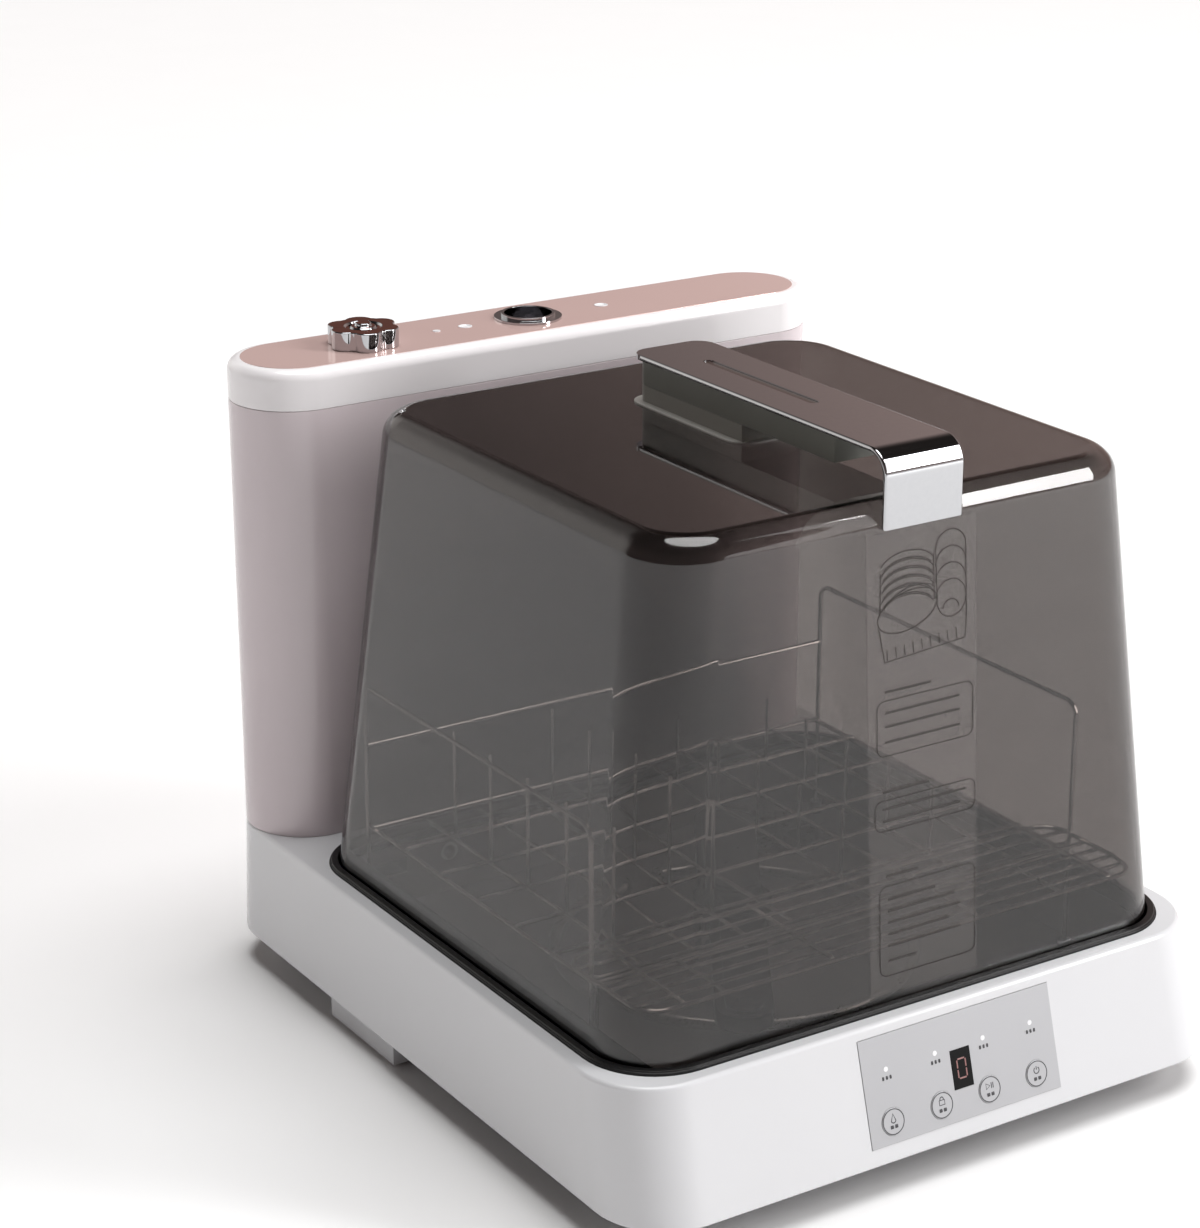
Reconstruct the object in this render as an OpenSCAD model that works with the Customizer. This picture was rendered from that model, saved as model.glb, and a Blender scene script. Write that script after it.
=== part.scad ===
// Countertop dishwasher with a lift-off smoked hood, a standing water tank at the back,
// a wire basket with a front cutlery shelf, and a sloped control panel.
// Units are millimetres. Z = 0 is the worktop, +X is right along the front, +Y is the back.

/* [Base] */
// Width of the base at its top rim
base_w = 420; // [400:1:440]
// Depth of the base from the foot of the sloped front to the back wall
base_d = 497; // [480:1:520]
// Height of the base housing
base_h = 77; // [70:1:85]
// Space between the worktop and the underside of the base
ground_gap = 20; // [16:1:26]
// How far the front leans out from the rim to the bottom edge
front_lean = 22; // [15:1:28]
// How far each side leans out from the rim to the bottom edge
side_lean = 3; // [1:0.5:5]
// Wall thickness of the base housing
base_wall = 3; // [2.5:0.1:3.5]
// Radius of the front corners of the base
base_corner = 42; // [38:1:46]

/* [Tub and gasket] */
// Rim between the side of the base and the hood
rim_side = 15.5; // [14:0.5:18]
// Rim between the front of the base and the hood
rim_front = 14.5; // [13:0.5:17]
// Gap between the back of the hood and the water tank
rim_back = 17.5; // [16:0.5:20]
// How far the gasket reaches outside the hood
gasket_reach = 5.5; // [4.5:0.25:6.5]
// Height of the gasket bead over the rim
gasket_bead = 2.5; // [1.5:0.25:3.5]
// Wall thickness of the wash tub
tub_wall = 2.5; // [2:0.1:3]
// Height of the tub floor over the worktop
tub_floor_z = 50; // [48:0.5:52]
// Inside width of the sump
sump_d = 62; // [58:1:66]

/* [Hood] */
// Height of the hood from its bottom edge to its flat top
hood_h = 295; // [280:1:310]
// How far each side of the hood leans in from bottom to top
hood_draft_x = 30.5; // [26:0.5:34]
// How far the front and back of the hood lean in from bottom to top
hood_draft_y = 18.5; // [15:0.5:22]
// Wall thickness of the hood
hood_wall = 3; // [2.5:0.1:3.5]
// Radius of the upright corners of the hood
hood_corner = 40; // [34:1:44]
// Rounding of the top edge of the hood
hood_edge = 14; // [10:1:18]

/* [Handle] */
// Sideways position of the handle
handle_x = 3; // [-6:1:6]
// Width of the polished strip
handle_w = 54; // [48:1:60]
// Height of the strip over the hood top
handle_rise = 30; // [27:1:34]
// Thickness of the strip
strip_t = 3; // [2:0.25:4]
// Length of the strip behind its front bend
handle_len = 236; // [220:1:245]
// How far the front leg of the strip reaches below the hood top
leg_drop = 14; // [10:1:20]

/* [Water tank] */
// Depth of the tank column
tank_d = 80; // [74:1:84]
// Height of the tank column over the rim of the base
tank_h = 306; // [290:1:320]
// Height of the separate top cover
cap_h = 25; // [22:1:30]
// Rounding of the top edge of the cover
cap_edge = 7; // [5:0.5:9]
// Wall thickness of the column
tank_wall = 2.5; // [2:0.1:3]
// Outside diameter of the filler ring
fill_ring_d = 44; // [40:1:48]
// Diameter of the filler cap over its lobes
cap_knob_d = 46; // [42:1:50]
// Height of the filler cap
cap_knob_h = 12; // [10:0.5:15]
// Sideways position of the filler cap while it rests beside the filler
cap_knob_x = -121; // [-125:1:-110]

/* [Control panel] */
// Sideways position of the panel
panel_x = 12.5; // [0:0.5:18]
// Width of the panel
panel_w = 137; // [130:1:144]
// Height of the panel along the slope
panel_h = 62.5; // [58:0.5:66]
// Spacing of the buttons and lamps
button_pitch = 34.7; // [32:0.1:36]
// Diameter of a button
button_d = 16; // [14:0.5:18]
// Travel of a button
button_travel = 0.8; // [0.6:0.1:1]

/* [Basket] */
// Wire diameter
wire_d = 3; // [2.5:0.1:3.4]
// Height of the side frames over the rim
frame_rise = 118; // [105:1:125]
// Length of the plate tines
tine_h = 72; // [60:1:80]
// Height of the basket floor over the rim
basket_floor = 22; // [18:0.5:25]
// Height of the cutlery shelf over the rim
shelf_rise = 30; // [26:0.5:34]

/* [Spray arm] */
// Length of the spray arm
arm_l = 300; // [280:1:306]
// Width of the spray arm
arm_w = 34; // [30:1:38]
// Angle at which the arm rests
arm_rest = 57; // [50:1:65]
// Diameter of the arm spindle
spindle_d = 20; // [18:0.5:22]

/* [Hidden] */
$fn = 64;
run = 0.1; // running clearance on a diameter
z0 = ground_gap; // underside of the base
rim_z = z0 + base_h;
front_y = -base_d / 2; // foot of the slope
back_y = base_d / 2;
rim_front_y = front_y + front_lean;
base_wb = base_w + 2 * side_lean; // width at the bottom
lean_a = atan(front_lean / base_h);
// hood outline at its bottom edge
hood_w = base_w - 2 * rim_side;
hood_front = rim_front_y + rim_front;
hood_back = back_y - tank_d - rim_back;
hood_d = hood_back - hood_front;
hood_y = (hood_back + hood_front) / 2;
hood_z = rim_z - 3; // bottom edge of the hood
hood_top = hood_z + hood_h;
// gasket and tub
gask_w = hood_w + 2 * gasket_reach;
gask_d = hood_d + 2 * gasket_reach;
gask_r = hood_corner + gasket_reach;
seat_z = hood_z - 4; // underside of the gasket and top of the tub flange
tub_w = hood_w - 13; // inside
tub_d = hood_d - 13;
tub_r = hood_corner - 6.5;
ledge_z = seat_z - 3; // underside of the tub flange
floor_under = tub_floor_z - tub_wall;
// sump in the back right corner of the tub
sump_x = tub_w / 2 - 58;
sump_y = hood_y + tub_d / 2 - 43;
sump_z = z0 + 10; // inside bottom of the sump
// arm
arm_x = 0;
arm_y = hood_y;
arm_z = tub_floor_z + 22; // underside of the arm
// tank column
tank_y = back_y - tank_d / 2;
tank_top = rim_z + tank_h;
seam_z = tank_top - cap_h;
column_w = base_w;
// deck under the column
works_y = back_y - 44; // centre line of the pumps
volute_x = sump_x - 55;
hose_z = floor_under - 11; // pressure hose
pump_z = sump_z + 8 + 21; // wash pump axis
drain_x = volute_x - 135;
drain_z = floor_under + 10.5;
outlet_z = z0 + 42;
duct_x = 60 - column_w / 2;
fill_x = duct_x + 50;
fill_z = rim_z - 20;
duct_z = rim_z - 27.5; // underside of the duct passage
tub_back = hood_y + tub_d / 2 + tub_wall; // outer face of the back wall of the tub
// heater ring
heater_r = 110;
heater_d = 7;
heater_leg = 9; // diameter of its two legs
leg_a = 7.4; // angle from the back to each leg
leg_x = heater_r * sin(leg_a);
leg_r = heater_r * cos(leg_a);
float_x = 38 - tub_w / 2;
float_y = hood_y - 135;
inner_z = rim_z + 70; // underside of the inner tank
col_screw_x = column_w / 2 - 90;
col_screw_y = tank_d / 2 - 9;
// sockets in the back wall
outlet_d = 22; // outside of the drain socket
socket_d = 16; // bore that takes the drain hose's plug
socket_l = 12;
inlet_x = base_w / 2 - 72;
inlet_z = z0 + 32;
inlet_w = 29.6;
inlet_h = 23.6;
// slope of the front
panel_z = rim_z - 36.5;
function slope_y(z) = front_y + front_lean * (z - z0) / base_h;
button_v = -18.8; // height of the button row on the panel
lamp_v = 11.5; // height of the lamp row on the panel
panel_in = 1.2; // depth of the recess that holds the panel
disp_v = -1.6; // height of the display on the panel
disp_w = 14;
disp_h = 23;
board_w = 122;
board_gap = 12; // depth of the board behind the slope
// basket
frame_x = tub_w / 2 - 16;
basket_back = hood_y + tub_d / 2 - 25.5;
basket_front = hood_front + 73;
grid_z = rim_z + basket_floor;
frame_top = rim_z + frame_rise;
frame_r = 9;
weld = 0.1; // gap left at a weld, so that each bar stays a solid of its own
wire_xs = [-0.78, -0.57, -0.37, -0.175, 0.175, 0.37, 0.57, 0.78]; // floor wires, as shares of frame_x
tine_ys = [for (i = [1 : 5]) basket_front + i * (basket_back - basket_front) / 6];
shelf_z = rim_z + shelf_rise;
rail_z = shelf_z - wire_d + 0.08; // wires that carry the shelf
shelf_w = hood_w - 37;
shelf_front = hood_front + 15;
shelf_back = basket_front + 24;
foot_z = tub_floor_z + 0.1;
screw_d = 3;
plate_z = z0 + 2.5; // top of the bottom plate
front_foot_x = base_w / 2 - 70;
front_foot_y = front_y + 62;
rear_foot_w = 46;
rear_foot_l = 80;
rear_foot_x = base_wb / 2 - 6 - rear_foot_w / 2;
rear_foot_y = back_y - 175.5;
boss_x = base_w / 2 - 11;
boss_ys = [hood_y - gask_d / 2 + 67, hood_y + 20, hood_y + gask_d / 2 - 37];

white = [0.93, 0.93, 0.94];
grey = [0.62, 0.63, 0.65];
dark = [0.13, 0.13, 0.14];
steel = [0.78, 0.79, 0.8];
chrome = [0.85, 0.86, 0.88];
smoke = [0.32, 0.29, 0.28, 0.55];
rose = [0.8, 0.68, 0.66];
green = [0.1, 0.4, 0.25];

module rbox(w, d, h, r) { // upright box with round corners, centred
  union() {
    translate([-w / 2 + r, -d / 2, 0]) cube([w - 2 * r, d, h]);
    translate([-w / 2, -d / 2 + r, 0]) cube([w, d - 2 * r, h]);
    for (sx = [-1, 1]) for (sy = [-1, 1])
      translate([sx * (w / 2 - r), sy * (d / 2 - r), 0]) cylinder(r = r, h = h);
  }
}
module stadium(l, d, h) { // long box with round ends
  union() {
    translate([-l / 2 + d / 2, -d / 2, 0]) cube([l - d, d, h]);
    for (s = [-1, 1]) translate([s * (l / 2 - d / 2), 0, 0]) cylinder(d = d, h = h);
  }
}
// round bars from one place to another along one axis
module rod_x(x0, x1, y, z, d) {
  translate([min(x0, x1), y, z]) rotate([0, 90, 0]) cylinder(d = d, h = abs(x1 - x0));
}
module rod_y(y0, y1, x, z, d) {
  translate([x, max(y0, y1), z]) rotate([90, 0, 0]) cylinder(d = d, h = abs(y1 - y0));
}
module rod_z(z0, z1, x, y, d) {
  translate([x, y, min(z0, z1)]) cylinder(d = d, h = abs(z1 - z0));
}
module bend(r, d) { // quarter ring in the XY plane, from +X to +Y
  rotate_extrude(angle = 90) translate([r, 0]) circle(d = d);
}
// place on the sloped front: local z is its outward normal, local y runs up it
module on_slope(x, v) {
  translate([panel_x + x, slope_y(panel_z), panel_z]) rotate([90 - lean_a, 0, 0])
    translate([0, v, 0]) children();
}
// four upright corner posts of a base outline at one height
module outline_bar(z, h, w, front, rf, inset) {
  rb = tank_d / 2;
  for (s = [-1, 1]) {
    translate([s * (w / 2 - rf), front + rf, z]) cylinder(r = rf - inset, h = h, $fn = 48);
    translate([s * (w / 2 - rb), back_y - rb, z]) cylinder(r = rb - inset, h = h, $fn = 48);
  }
}
// Base housing: one moulding with a tapered wall, a top deck and a collar round the tub
module base_shell() {
  color(white) difference() {
    union() {
      difference() {
        hull() {
          outline_bar(rim_z - 0.1, 0.1, base_w, rim_front_y, base_corner, 2);
          outline_bar(rim_z - 2, 0.1, base_w, rim_front_y, base_corner, 0);
          outline_bar(z0 + 4, 0.1, base_wb, front_y, base_corner + side_lean, 0);
          outline_bar(z0, 0.1, base_wb, front_y, base_corner + side_lean, 3.5);
        }
        hull() {
          outline_bar(rim_z - 3.1, 0.1, base_w, rim_front_y, base_corner, base_wall);
          outline_bar(z0 - 1, 0.1, base_wb, front_y, base_corner + side_lean, base_wall + 1.5);
        }
      }
      translate([0, hood_y, ledge_z - 3])
        rbox(gask_w + 7, gask_d + 7, rim_z - 1 - ledge_z + 3, gask_r + 3.5);
      for (s = [-1, 1]) for (y = boss_ys) rod_z(plate_z + 0.2, ledge_z, s * boss_x, y, 9);
    }
    translate([0, hood_y, ledge_z]) rbox(gask_w + 1, gask_d + 1, 30, gask_r + 0.5);
    translate([0, hood_y, ledge_z - 10])
      rbox(tub_w + 2 * tub_wall + 1, tub_d + 2 * tub_wall + 1, 30, tub_r + tub_wall + 0.5);
    for (s = [-1, 1]) for (y = boss_ys) rod_z(plate_z - 1, plate_z + 16, s * boss_x, y, screw_d);
    // opening under the column, for hoses and the air duct
    translate([0, tank_y, rim_z - 10]) stadium(column_w - 40, tank_d - 34, 20);
    for (x = [-1, 1]) for (y = [-1, 1])
      rod_z(rim_z - 10, rim_z + 2, x * col_screw_x, tank_y + y * col_screw_y, screw_d + 0.4);
    // panel recess and the window behind it
    on_slope(0, 0) translate([-panel_w / 2 - 0.25, -panel_h / 2 - 0.25, -panel_in])
      cube([panel_w + 0.5, panel_h + 0.5, 6]);
    on_slope(0, 0) translate([-board_w / 2 - 2, -panel_h / 2 + 2.4, -8])
      cube([board_w + 4, panel_h - 6, 12]);
    // outlets in the back wall, with a flat seat for each flange behind it
    rod_y(back_y - 8, back_y + 5, drain_x, outlet_z, outlet_d + 0.4);
    rod_y(back_y - 12, back_y - base_wall, drain_x, outlet_z, outlet_d + 7);
    translate([inlet_x - inlet_w / 2 - 0.2, back_y - 8, inlet_z - inlet_h / 2 - 0.2])
      cube([inlet_w + 0.4, 20, inlet_h + 0.4]);
    translate([inlet_x - inlet_w / 2 - 5.2, back_y - 12, inlet_z - inlet_h / 2 - 4.2])
      cube([inlet_w + 10.4, 12 - base_wall, inlet_h + 8.4]);
  }
}

module base_plate() {
  pf = front_y + base_wall + 4;
  pb = back_y - base_wall - 2.5;
  color(grey) difference() {
    translate([0, (pf + pb) / 2, z0]) rbox(base_wb - 2 * base_wall - 6, pb - pf, plate_z - z0, 38);
    for (s = [-1, 1]) for (y = boss_ys) rod_z(z0 - 1, z0 + 5, s * boss_x, y, screw_d + 0.4);
    for (s = [-1, 1]) rod_z(z0 - 1, z0 + 5, s * front_foot_x, front_foot_y, 8.2);
    for (s = [-1, 1]) for (y = [-1, 1])
      rod_z(z0 - 1, z0 + 5, s * rear_foot_x, rear_foot_y + y * 24, 6.2);
    for (i = [0 : 7]) translate([-110 + i * 12, works_y - 22, z0 - 1]) cube([4, 44, 5]);
  }
}

module base_screws() {
  color(steel) for (s = [-1, 1]) for (y = boss_ys) translate([s * boss_x, y, 0]) union() {
    rod_z(z0 - 1.8, z0, 0, 0, 6);
    rod_z(z0 - 0.1, z0 + 14, 0, 0, screw_d - run);
  }
}

module rear_feet() {
  color(grey) for (s = [-1, 1]) translate([s * rear_foot_x, rear_foot_y, 0]) difference() {
    union() {
      translate([-rear_foot_w / 2, -rear_foot_l / 2, 2.5]) cube([rear_foot_w, rear_foot_l, z0 - 2.5]);
      for (y = [-1, 1]) rod_z(z0 - 0.5, plate_z + 2, 0, y * 24, 6);
    }
    translate([-rear_foot_w / 2 + 4, -rear_foot_l / 2 + 4, 2])
      cube([rear_foot_w - 8, rear_foot_l - 8, 3.5]);
  }
}

module rubber_pads() {
  color(dark) for (s = [-1, 1]) translate([s * rear_foot_x, rear_foot_y, 0])
    translate([0, 0, 0]) rbox(rear_foot_w - 8.4, rear_foot_l - 8.4, 5.5, 3);
}

module front_feet() {
  color(dark) for (s = [-1, 1]) translate([s * front_foot_x, front_foot_y, 0]) union() {
    cylinder(d1 = 24, d2 = 30, h = z0);
    cylinder(d = 8, h = z0 + 2.4);
    translate([0, 0, plate_z + 0.1]) cylinder(d1 = 9.6, d2 = 7.6, h = 2.5);
    cylinder(d = 7.9, h = plate_z + 0.2);
  }
}

module tub() {
  color(grey) difference() {
    union() {
      translate([0, hood_y, floor_under])
        rbox(tub_w + 2 * tub_wall, tub_d + 2 * tub_wall, seat_z - floor_under, tub_r + tub_wall);
      translate([0, hood_y, ledge_z])
        rbox(gask_w + 0.4, gask_d + 0.4, seat_z - ledge_z, gask_r + 0.2);
      rod_z(sump_z - tub_wall, tub_floor_z, sump_x, sump_y, sump_d + 2 * tub_wall);
      rod_z(floor_under - 4, floor_under + 1, arm_x, arm_y, 34);
    }
    translate([0, hood_y, tub_floor_z]) rbox(tub_w, tub_d, 80, tub_r);
    rod_z(sump_z, tub_floor_z + 1, sump_x, sump_y, sump_d);
    rod_z(floor_under - 10, tub_floor_z + 1, arm_x, arm_y, 24.2);
    // hose holes in the back of the sump
    rod_y(sump_y + 10, sump_y + 50, sump_x + 12, sump_z + 8, 16.2);
    rod_y(sump_y + 10, sump_y + 50, sump_x - 14, sump_z + 7, 12.2);
    // heater terminals, air inlet and fill inlet
    for (x = [-1, 1]) rod_z(floor_under - 3, tub_floor_z + 1, x * leg_x, arm_y + leg_r, heater_leg + 0.2);
    translate([duct_x - 20, tub_back - 10, duct_z]) cube([40, 20, 11]);
    rod_y(tub_back - 10, tub_back + 10, fill_x, fill_z, 12.2);
    // float pocket
    rod_z(floor_under - 1, tub_floor_z + 1, float_x, float_y, 5);
  }
}

module gasket() {
  color(dark) translate([0, hood_y, 0]) difference() {
    union() {
      translate([0, 0, seat_z]) rbox(gask_w, gask_d, rim_z + gasket_bead - seat_z - 1, gask_r);
      translate([0, 0, seat_z]) rbox(gask_w - 2, gask_d - 2, rim_z + gasket_bead - seat_z, gask_r - 1);
    }
    translate([0, 0, seat_z - 1]) rbox(tub_w, tub_d, 40, tub_r);
    translate([0, 0, hood_z]) rbox(hood_w + 0.8, hood_d + 0.8, 40, hood_corner + 0.4);
  }
}

module filter_cup() {
  fd = sump_d - 6;
  color(steel) translate([sump_x, sump_y, 0]) difference() {
    union() {
      translate([0, 0, sump_z + 3]) cylinder(d = fd, h = tub_floor_z - sump_z - 3);
      translate([0, 0, tub_floor_z]) cylinder(d = sump_d + 6, h = 1.6);
      translate([0, 0, sump_z + 3]) cylinder(d = 9, h = tub_floor_z - sump_z + 16);
    }
    difference() {
      translate([0, 0, sump_z + 4.4]) cylinder(d = fd - 2.6, h = 40);
      translate([0, 0, sump_z]) cylinder(d = 9, h = 60);
      translate([-fd / 2, -1, sump_z]) cube([fd, 2, 24]);
      translate([-1, -fd / 2, sump_z]) cube([2, fd, 24]);
    }
    for (a = [0 : 30 : 330]) rotate([0, 0, a + 15]) rod_x(fd / 2 - 6, fd / 2 + 4, 0, sump_z + 12, 4);
  }
}

module heater() {
  color(steel) translate([arm_x, arm_y, tub_floor_z + heater_d]) union() {
    rotate([0, 0, 90 + leg_a]) rotate_extrude(angle = 360 - 2 * leg_a)
      translate([heater_r, 0]) circle(d = heater_d);
    for (x = [-1, 1])
      rod_z(-heater_d - tub_wall - 3, heater_d / 2 + 0.8, x * leg_x, leg_r, heater_leg);
  }
}

module spindle() {
  color(grey) translate([arm_x, arm_y, 0]) difference() {
    union() {
      rod_z(hose_z - 7.5, tub_floor_z, 0, 0, 24);
      rod_z(floor_under - 9, floor_under - 4.1, 0, 0, 34);
      rod_z(tub_floor_z, tub_floor_z + 4, 0, 0, 40);
      rod_z(tub_floor_z, arm_z - 3, 0, 0, 30);
      rod_z(tub_floor_z, arm_z + 21, 0, 0, spindle_d - run);
      rod_x(0, 26, 0, hose_z, 12.6);
    }
    rod_z(hose_z, arm_z + 16, 0, 0, 12);
    rod_x(0, 30, 0, hose_z, 9);
    for (a = [0, 90]) rotate([0, 0, a]) rod_x(-16, 16, 0, arm_z + 9, 7);
  }
}

module spray_arm() {
  color(dark) translate([arm_x, arm_y, arm_z]) rotate([0, 0, arm_rest]) difference() {
    union() {
      stadium(arm_l, arm_w, 10);
      translate([0, 0, 9]) stadium(arm_l - 10, arm_w - 12, 3);
      rod_z(-3, 17, 0, 0, 44);
    }
    rod_z(-5, 20, 0, 0, spindle_d);
    rod_z(2, 13, 0, 0, 33);
    for (s = [-1, 1]) translate([s * (arm_l / 4 + 2) - (arm_l / 2 - 26) / 2, 10 - arm_w / 2, 2])
      cube([arm_l / 2 - 26, arm_w - 20, 8]);
    for (i = [0 : 4]) for (s = [-1, 1]) rod_z(8, 15, s * (38 + i * 23), s * ((i % 2) * 8 - 4), 3);
    for (s = [-1, 1]) rod_y(s * 5, s * (arm_w / 2 + 2), s * (arm_l / 2 - 14), 5, 2.4);
  }
}

module arm_cap() {
  color(dark) translate([arm_x, arm_y, 0]) difference() {
    union() {
      rod_z(arm_z + 17.4, arm_z + 26, 0, 0, 32);
      rod_z(arm_z + 26, arm_z + 28, 0, 0, 26);
    }
    rod_z(arm_z + 17, arm_z + 21.2, 0, 0, spindle_d);
  }
}

module float_cage() {
  color(white) translate([float_x, float_y, tub_floor_z]) difference() {
    union() {
      cylinder(d = 30, h = 20);
      cylinder(d = 36, h = 2);
    }
    translate([0, 0, 2]) cylinder(d = 26, h = 16);
    translate([0, 0, -1]) cylinder(d = 5, h = 25);
    for (a = [0 : 60 : 300]) rotate([0, 0, a]) translate([8, -2, 4]) cube([12, 4, 12]);
  }
}

module sump_float() {
  color(dark) translate([float_x, float_y, tub_floor_z]) union() {
    translate([0, 0, 2.2]) cylinder(d = 25, h = 7);
    translate([0, 0, -14]) cylinder(d = 4.6, h = 35.5);
  }
}

module wash_pump_volute() {
  color(white) difference() {
    union() {
      rod_x(volute_x - 13, volute_x + 13, works_y, pump_z, 62);
      rod_x(volute_x + 12, volute_x + 25, works_y, pump_z, 12);
      rod_y(works_y - 38, works_y, volute_x, hose_z, 12.6);
      translate([volute_x - 11, works_y - 16, plate_z]) cube([22, 32, 12]);
    }
    rod_x(volute_x - 10, volute_x + 10, works_y, pump_z, 52);
    rod_x(volute_x - 14, volute_x, works_y, pump_z, 8);
    rod_x(volute_x, volute_x + 30, works_y, pump_z, 9);
    rod_y(works_y - 40, works_y - 14, volute_x, hose_z, 9);
  }
}

module wash_pump_motor() {
  mx = volute_x - 13.1;
  color(dark) difference() {
    union() {
      rod_x(mx - 86, mx, works_y, pump_z, 50);
      rod_x(mx - 8, mx, works_y, pump_z, 56);
      for (x = [mx - 70, mx - 24]) translate([x, works_y - 18, plate_z]) cube([14, 36, 18]);
    }
    rod_x(mx - 30, mx + 1, works_y, pump_z, 6);
  }
}

module pump_impeller() {
  color(grey) union() {
    rod_x(volute_x - 40, volute_x - 3, works_y, pump_z, 6 - run);
    rod_x(volute_x - 7, volute_x - 4, works_y, pump_z, 46);
    rod_x(volute_x - 7, volute_x + 2, works_y, pump_z, 14);
    for (a = [0 : 60 : 300]) translate([volute_x - 4.5, works_y, pump_z]) rotate([a, 0, 0])
      translate([0, 5, -1]) cube([9, 17, 2]);
  }
}

module suction_hose() {
  hx = sump_x + 12;
  hz = sump_z + 8;
  module path(d) {
    rod_y(sump_y + 30, works_y - 10.5, hx, hz, d);
    translate([hx, works_y - 10.5, hz + 10.5]) rotate([0, 90, 0]) rotate([0, 0, 0]) bend(10.5, d);
    translate([hx - 10.5, works_y, pump_z - 10.5]) rotate([90, 0, 0]) bend(10.5, d);
    rod_x(volute_x + 15, hx - 10.5, works_y, pump_z, d);
  }
  color(dark) difference() {
    union() path(16);
    union() path(12.2);
  }
}

module pressure_hose() {
  module path(d) {
    rod_y(arm_y + 13, works_y - 28.5, volute_x, hose_z, d);
    translate([volute_x - 13, arm_y + 13, hose_z]) rotate([0, 0, -90]) bend(13, d);
    rod_x(arm_x + 18, volute_x - 13, arm_y, hose_z, d);
  }
  color(dark) difference() {
    union() path(17);
    union() path(12.8);
  }
}

module drain_pump() {
  color(dark) difference() {
    union() {
      rod_z(plate_z, fill_z - 8, drain_x, works_y, 42);
      rod_z(plate_z, plate_z + 3, drain_x, works_y, 50);
      rod_y(works_y - 34, works_y, drain_x, drain_z, 8.8);
      rod_y(works_y, back_y - socket_l - 2, drain_x, outlet_z, 13.8);
    }
    rod_y(works_y - 35, works_y - 10, drain_x, drain_z, 6);
    rod_y(works_y + 10, back_y, drain_x, outlet_z, 10);
  }
}

module drain_hose() {
  hx = sump_x - 14;
  hz = sump_z + 7;
  hy = tub_back + 10;
  module path(d) {
    rod_y(sump_y + 29.5, hy - 9, hx, hz, d);
    translate([hx, hy - 9, hz + 9]) rotate([0, 90, 0]) bend(9, d);
    rod_z(hz + 9, drain_z - 9, hx, hy, d);
    translate([hx - 9, hy, drain_z - 9]) rotate([90, 0, 0]) bend(9, d);
    rod_x(drain_x + 9, hx - 9, hy, drain_z, d);
    translate([drain_x + 9, hy + 9, drain_z]) rotate([0, 0, 180]) bend(9, d);
    rod_y(hy + 9, works_y - 24, drain_x, drain_z, d);
  }
  color(dark) difference() {
    union() path(12);
    union() path(9);
  }
}

module drain_outlet() {
  color(dark) difference() {
    union() {
      rod_y(back_y - socket_l - 10, back_y, drain_x, outlet_z, outlet_d);
      rod_y(back_y - base_wall - 3, back_y - base_wall, drain_x, outlet_z, outlet_d + 6);
    }
    rod_y(back_y - socket_l - 11, back_y, drain_x, outlet_z, 14);
    rod_y(back_y - socket_l, back_y + 1, drain_x, outlet_z, socket_d);
  }
}

module power_inlet() {
  color(dark) difference() {
    union() {
      translate([inlet_x - inlet_w / 2, back_y - 24, inlet_z - inlet_h / 2]) cube([inlet_w, 24, inlet_h]);
      translate([inlet_x - inlet_w / 2 - 5, back_y - base_wall - 3, inlet_z - inlet_h / 2 - 4])
        cube([inlet_w + 10, 3, inlet_h + 8]);
    }
    translate([inlet_x - 11, back_y - 18, inlet_z - 8]) cube([22, 20, 16]);
  }
  color(steel) for (x = [-6, 6]) rod_y(back_y - 20, back_y - 6, inlet_x + x, inlet_z, 4);
}

module power_board() {
  bz = rim_z + 3;
  color(green) translate([10, tank_y - 22, bz]) cube([110, 1.6, 52]);
  color(dark) {
    translate([20, tank_y - 20.4, bz + 8]) cube([34, 26, 30]);
    for (x = [70, 92]) translate([x, tank_y - 20.4, bz + 26]) rotate([-90, 0, 0]) cylinder(d = 16, h = 24);
  }
}

module front_panel() {
  color(grey) on_slope(0, 0) difference() {
    translate([-panel_w / 2, -panel_h / 2, -panel_in]) cube([panel_w, panel_h, panel_in + 0.4]);
    for (i = [-1.5 : 1 : 1.5]) {
      translate([i * button_pitch, button_v, -3]) cylinder(d = button_d, h = 6);
      translate([i * button_pitch, lamp_v, -3]) cylinder(d = 3.2, h = 6);
    }
    translate([-disp_w / 2 - 0.2, disp_v - disp_h / 2 - 0.2, -3]) cube([disp_w + 0.4, disp_h + 0.4, 6]);
  }
}

module button(i) {
  color(steel) on_slope(i * button_pitch, button_v) union() {
    translate([0, 0, -2]) cylinder(d = button_d - run, h = 2.9);
    translate([0, 0, -2.6]) cylinder(d = button_d + 2.2, h = 1.3);
    translate([0, 0, -9.4]) cylinder(d = 5, h = 7);
  }
}
module button_select() { button(-1.5); }
module button_lock() { button(-0.5); }
module button_start() { button(0.5); }
module button_power() { button(1.5); }

module switches() {
  color(dark) for (i = [-1.5 : 1 : 1.5]) on_slope(i * button_pitch, button_v) difference() {
    translate([-4, -4, -board_gap]) cube([8, 8, 3]);
    translate([0, 0, -9.4 - button_travel - 0.4]) cylinder(d = 5.6, h = 5);
  }
}

module lamp_pipes() {
  color(white) for (i = [-1.5 : 1 : 1.5]) on_slope(i * button_pitch, lamp_v)
    translate([0, 0, -board_gap]) cylinder(d = 3, h = board_gap + 0.5);
}

module display() {
  color(dark) on_slope(0, disp_v) translate([-disp_w / 2, -disp_h / 2, -board_gap])
    cube([disp_w, disp_h, board_gap + 0.5]);
}

module control_board() {
  color(green) on_slope(0, 0) difference() {
    translate([-board_w / 2, -27, -board_gap - 1.6]) cube([board_w, 45, 1.6]);
    for (x = [-1, 1]) translate([x * (board_w / 2 - 4), 14, -20]) cylinder(d = 3.2, h = 20);
  }
}

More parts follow.
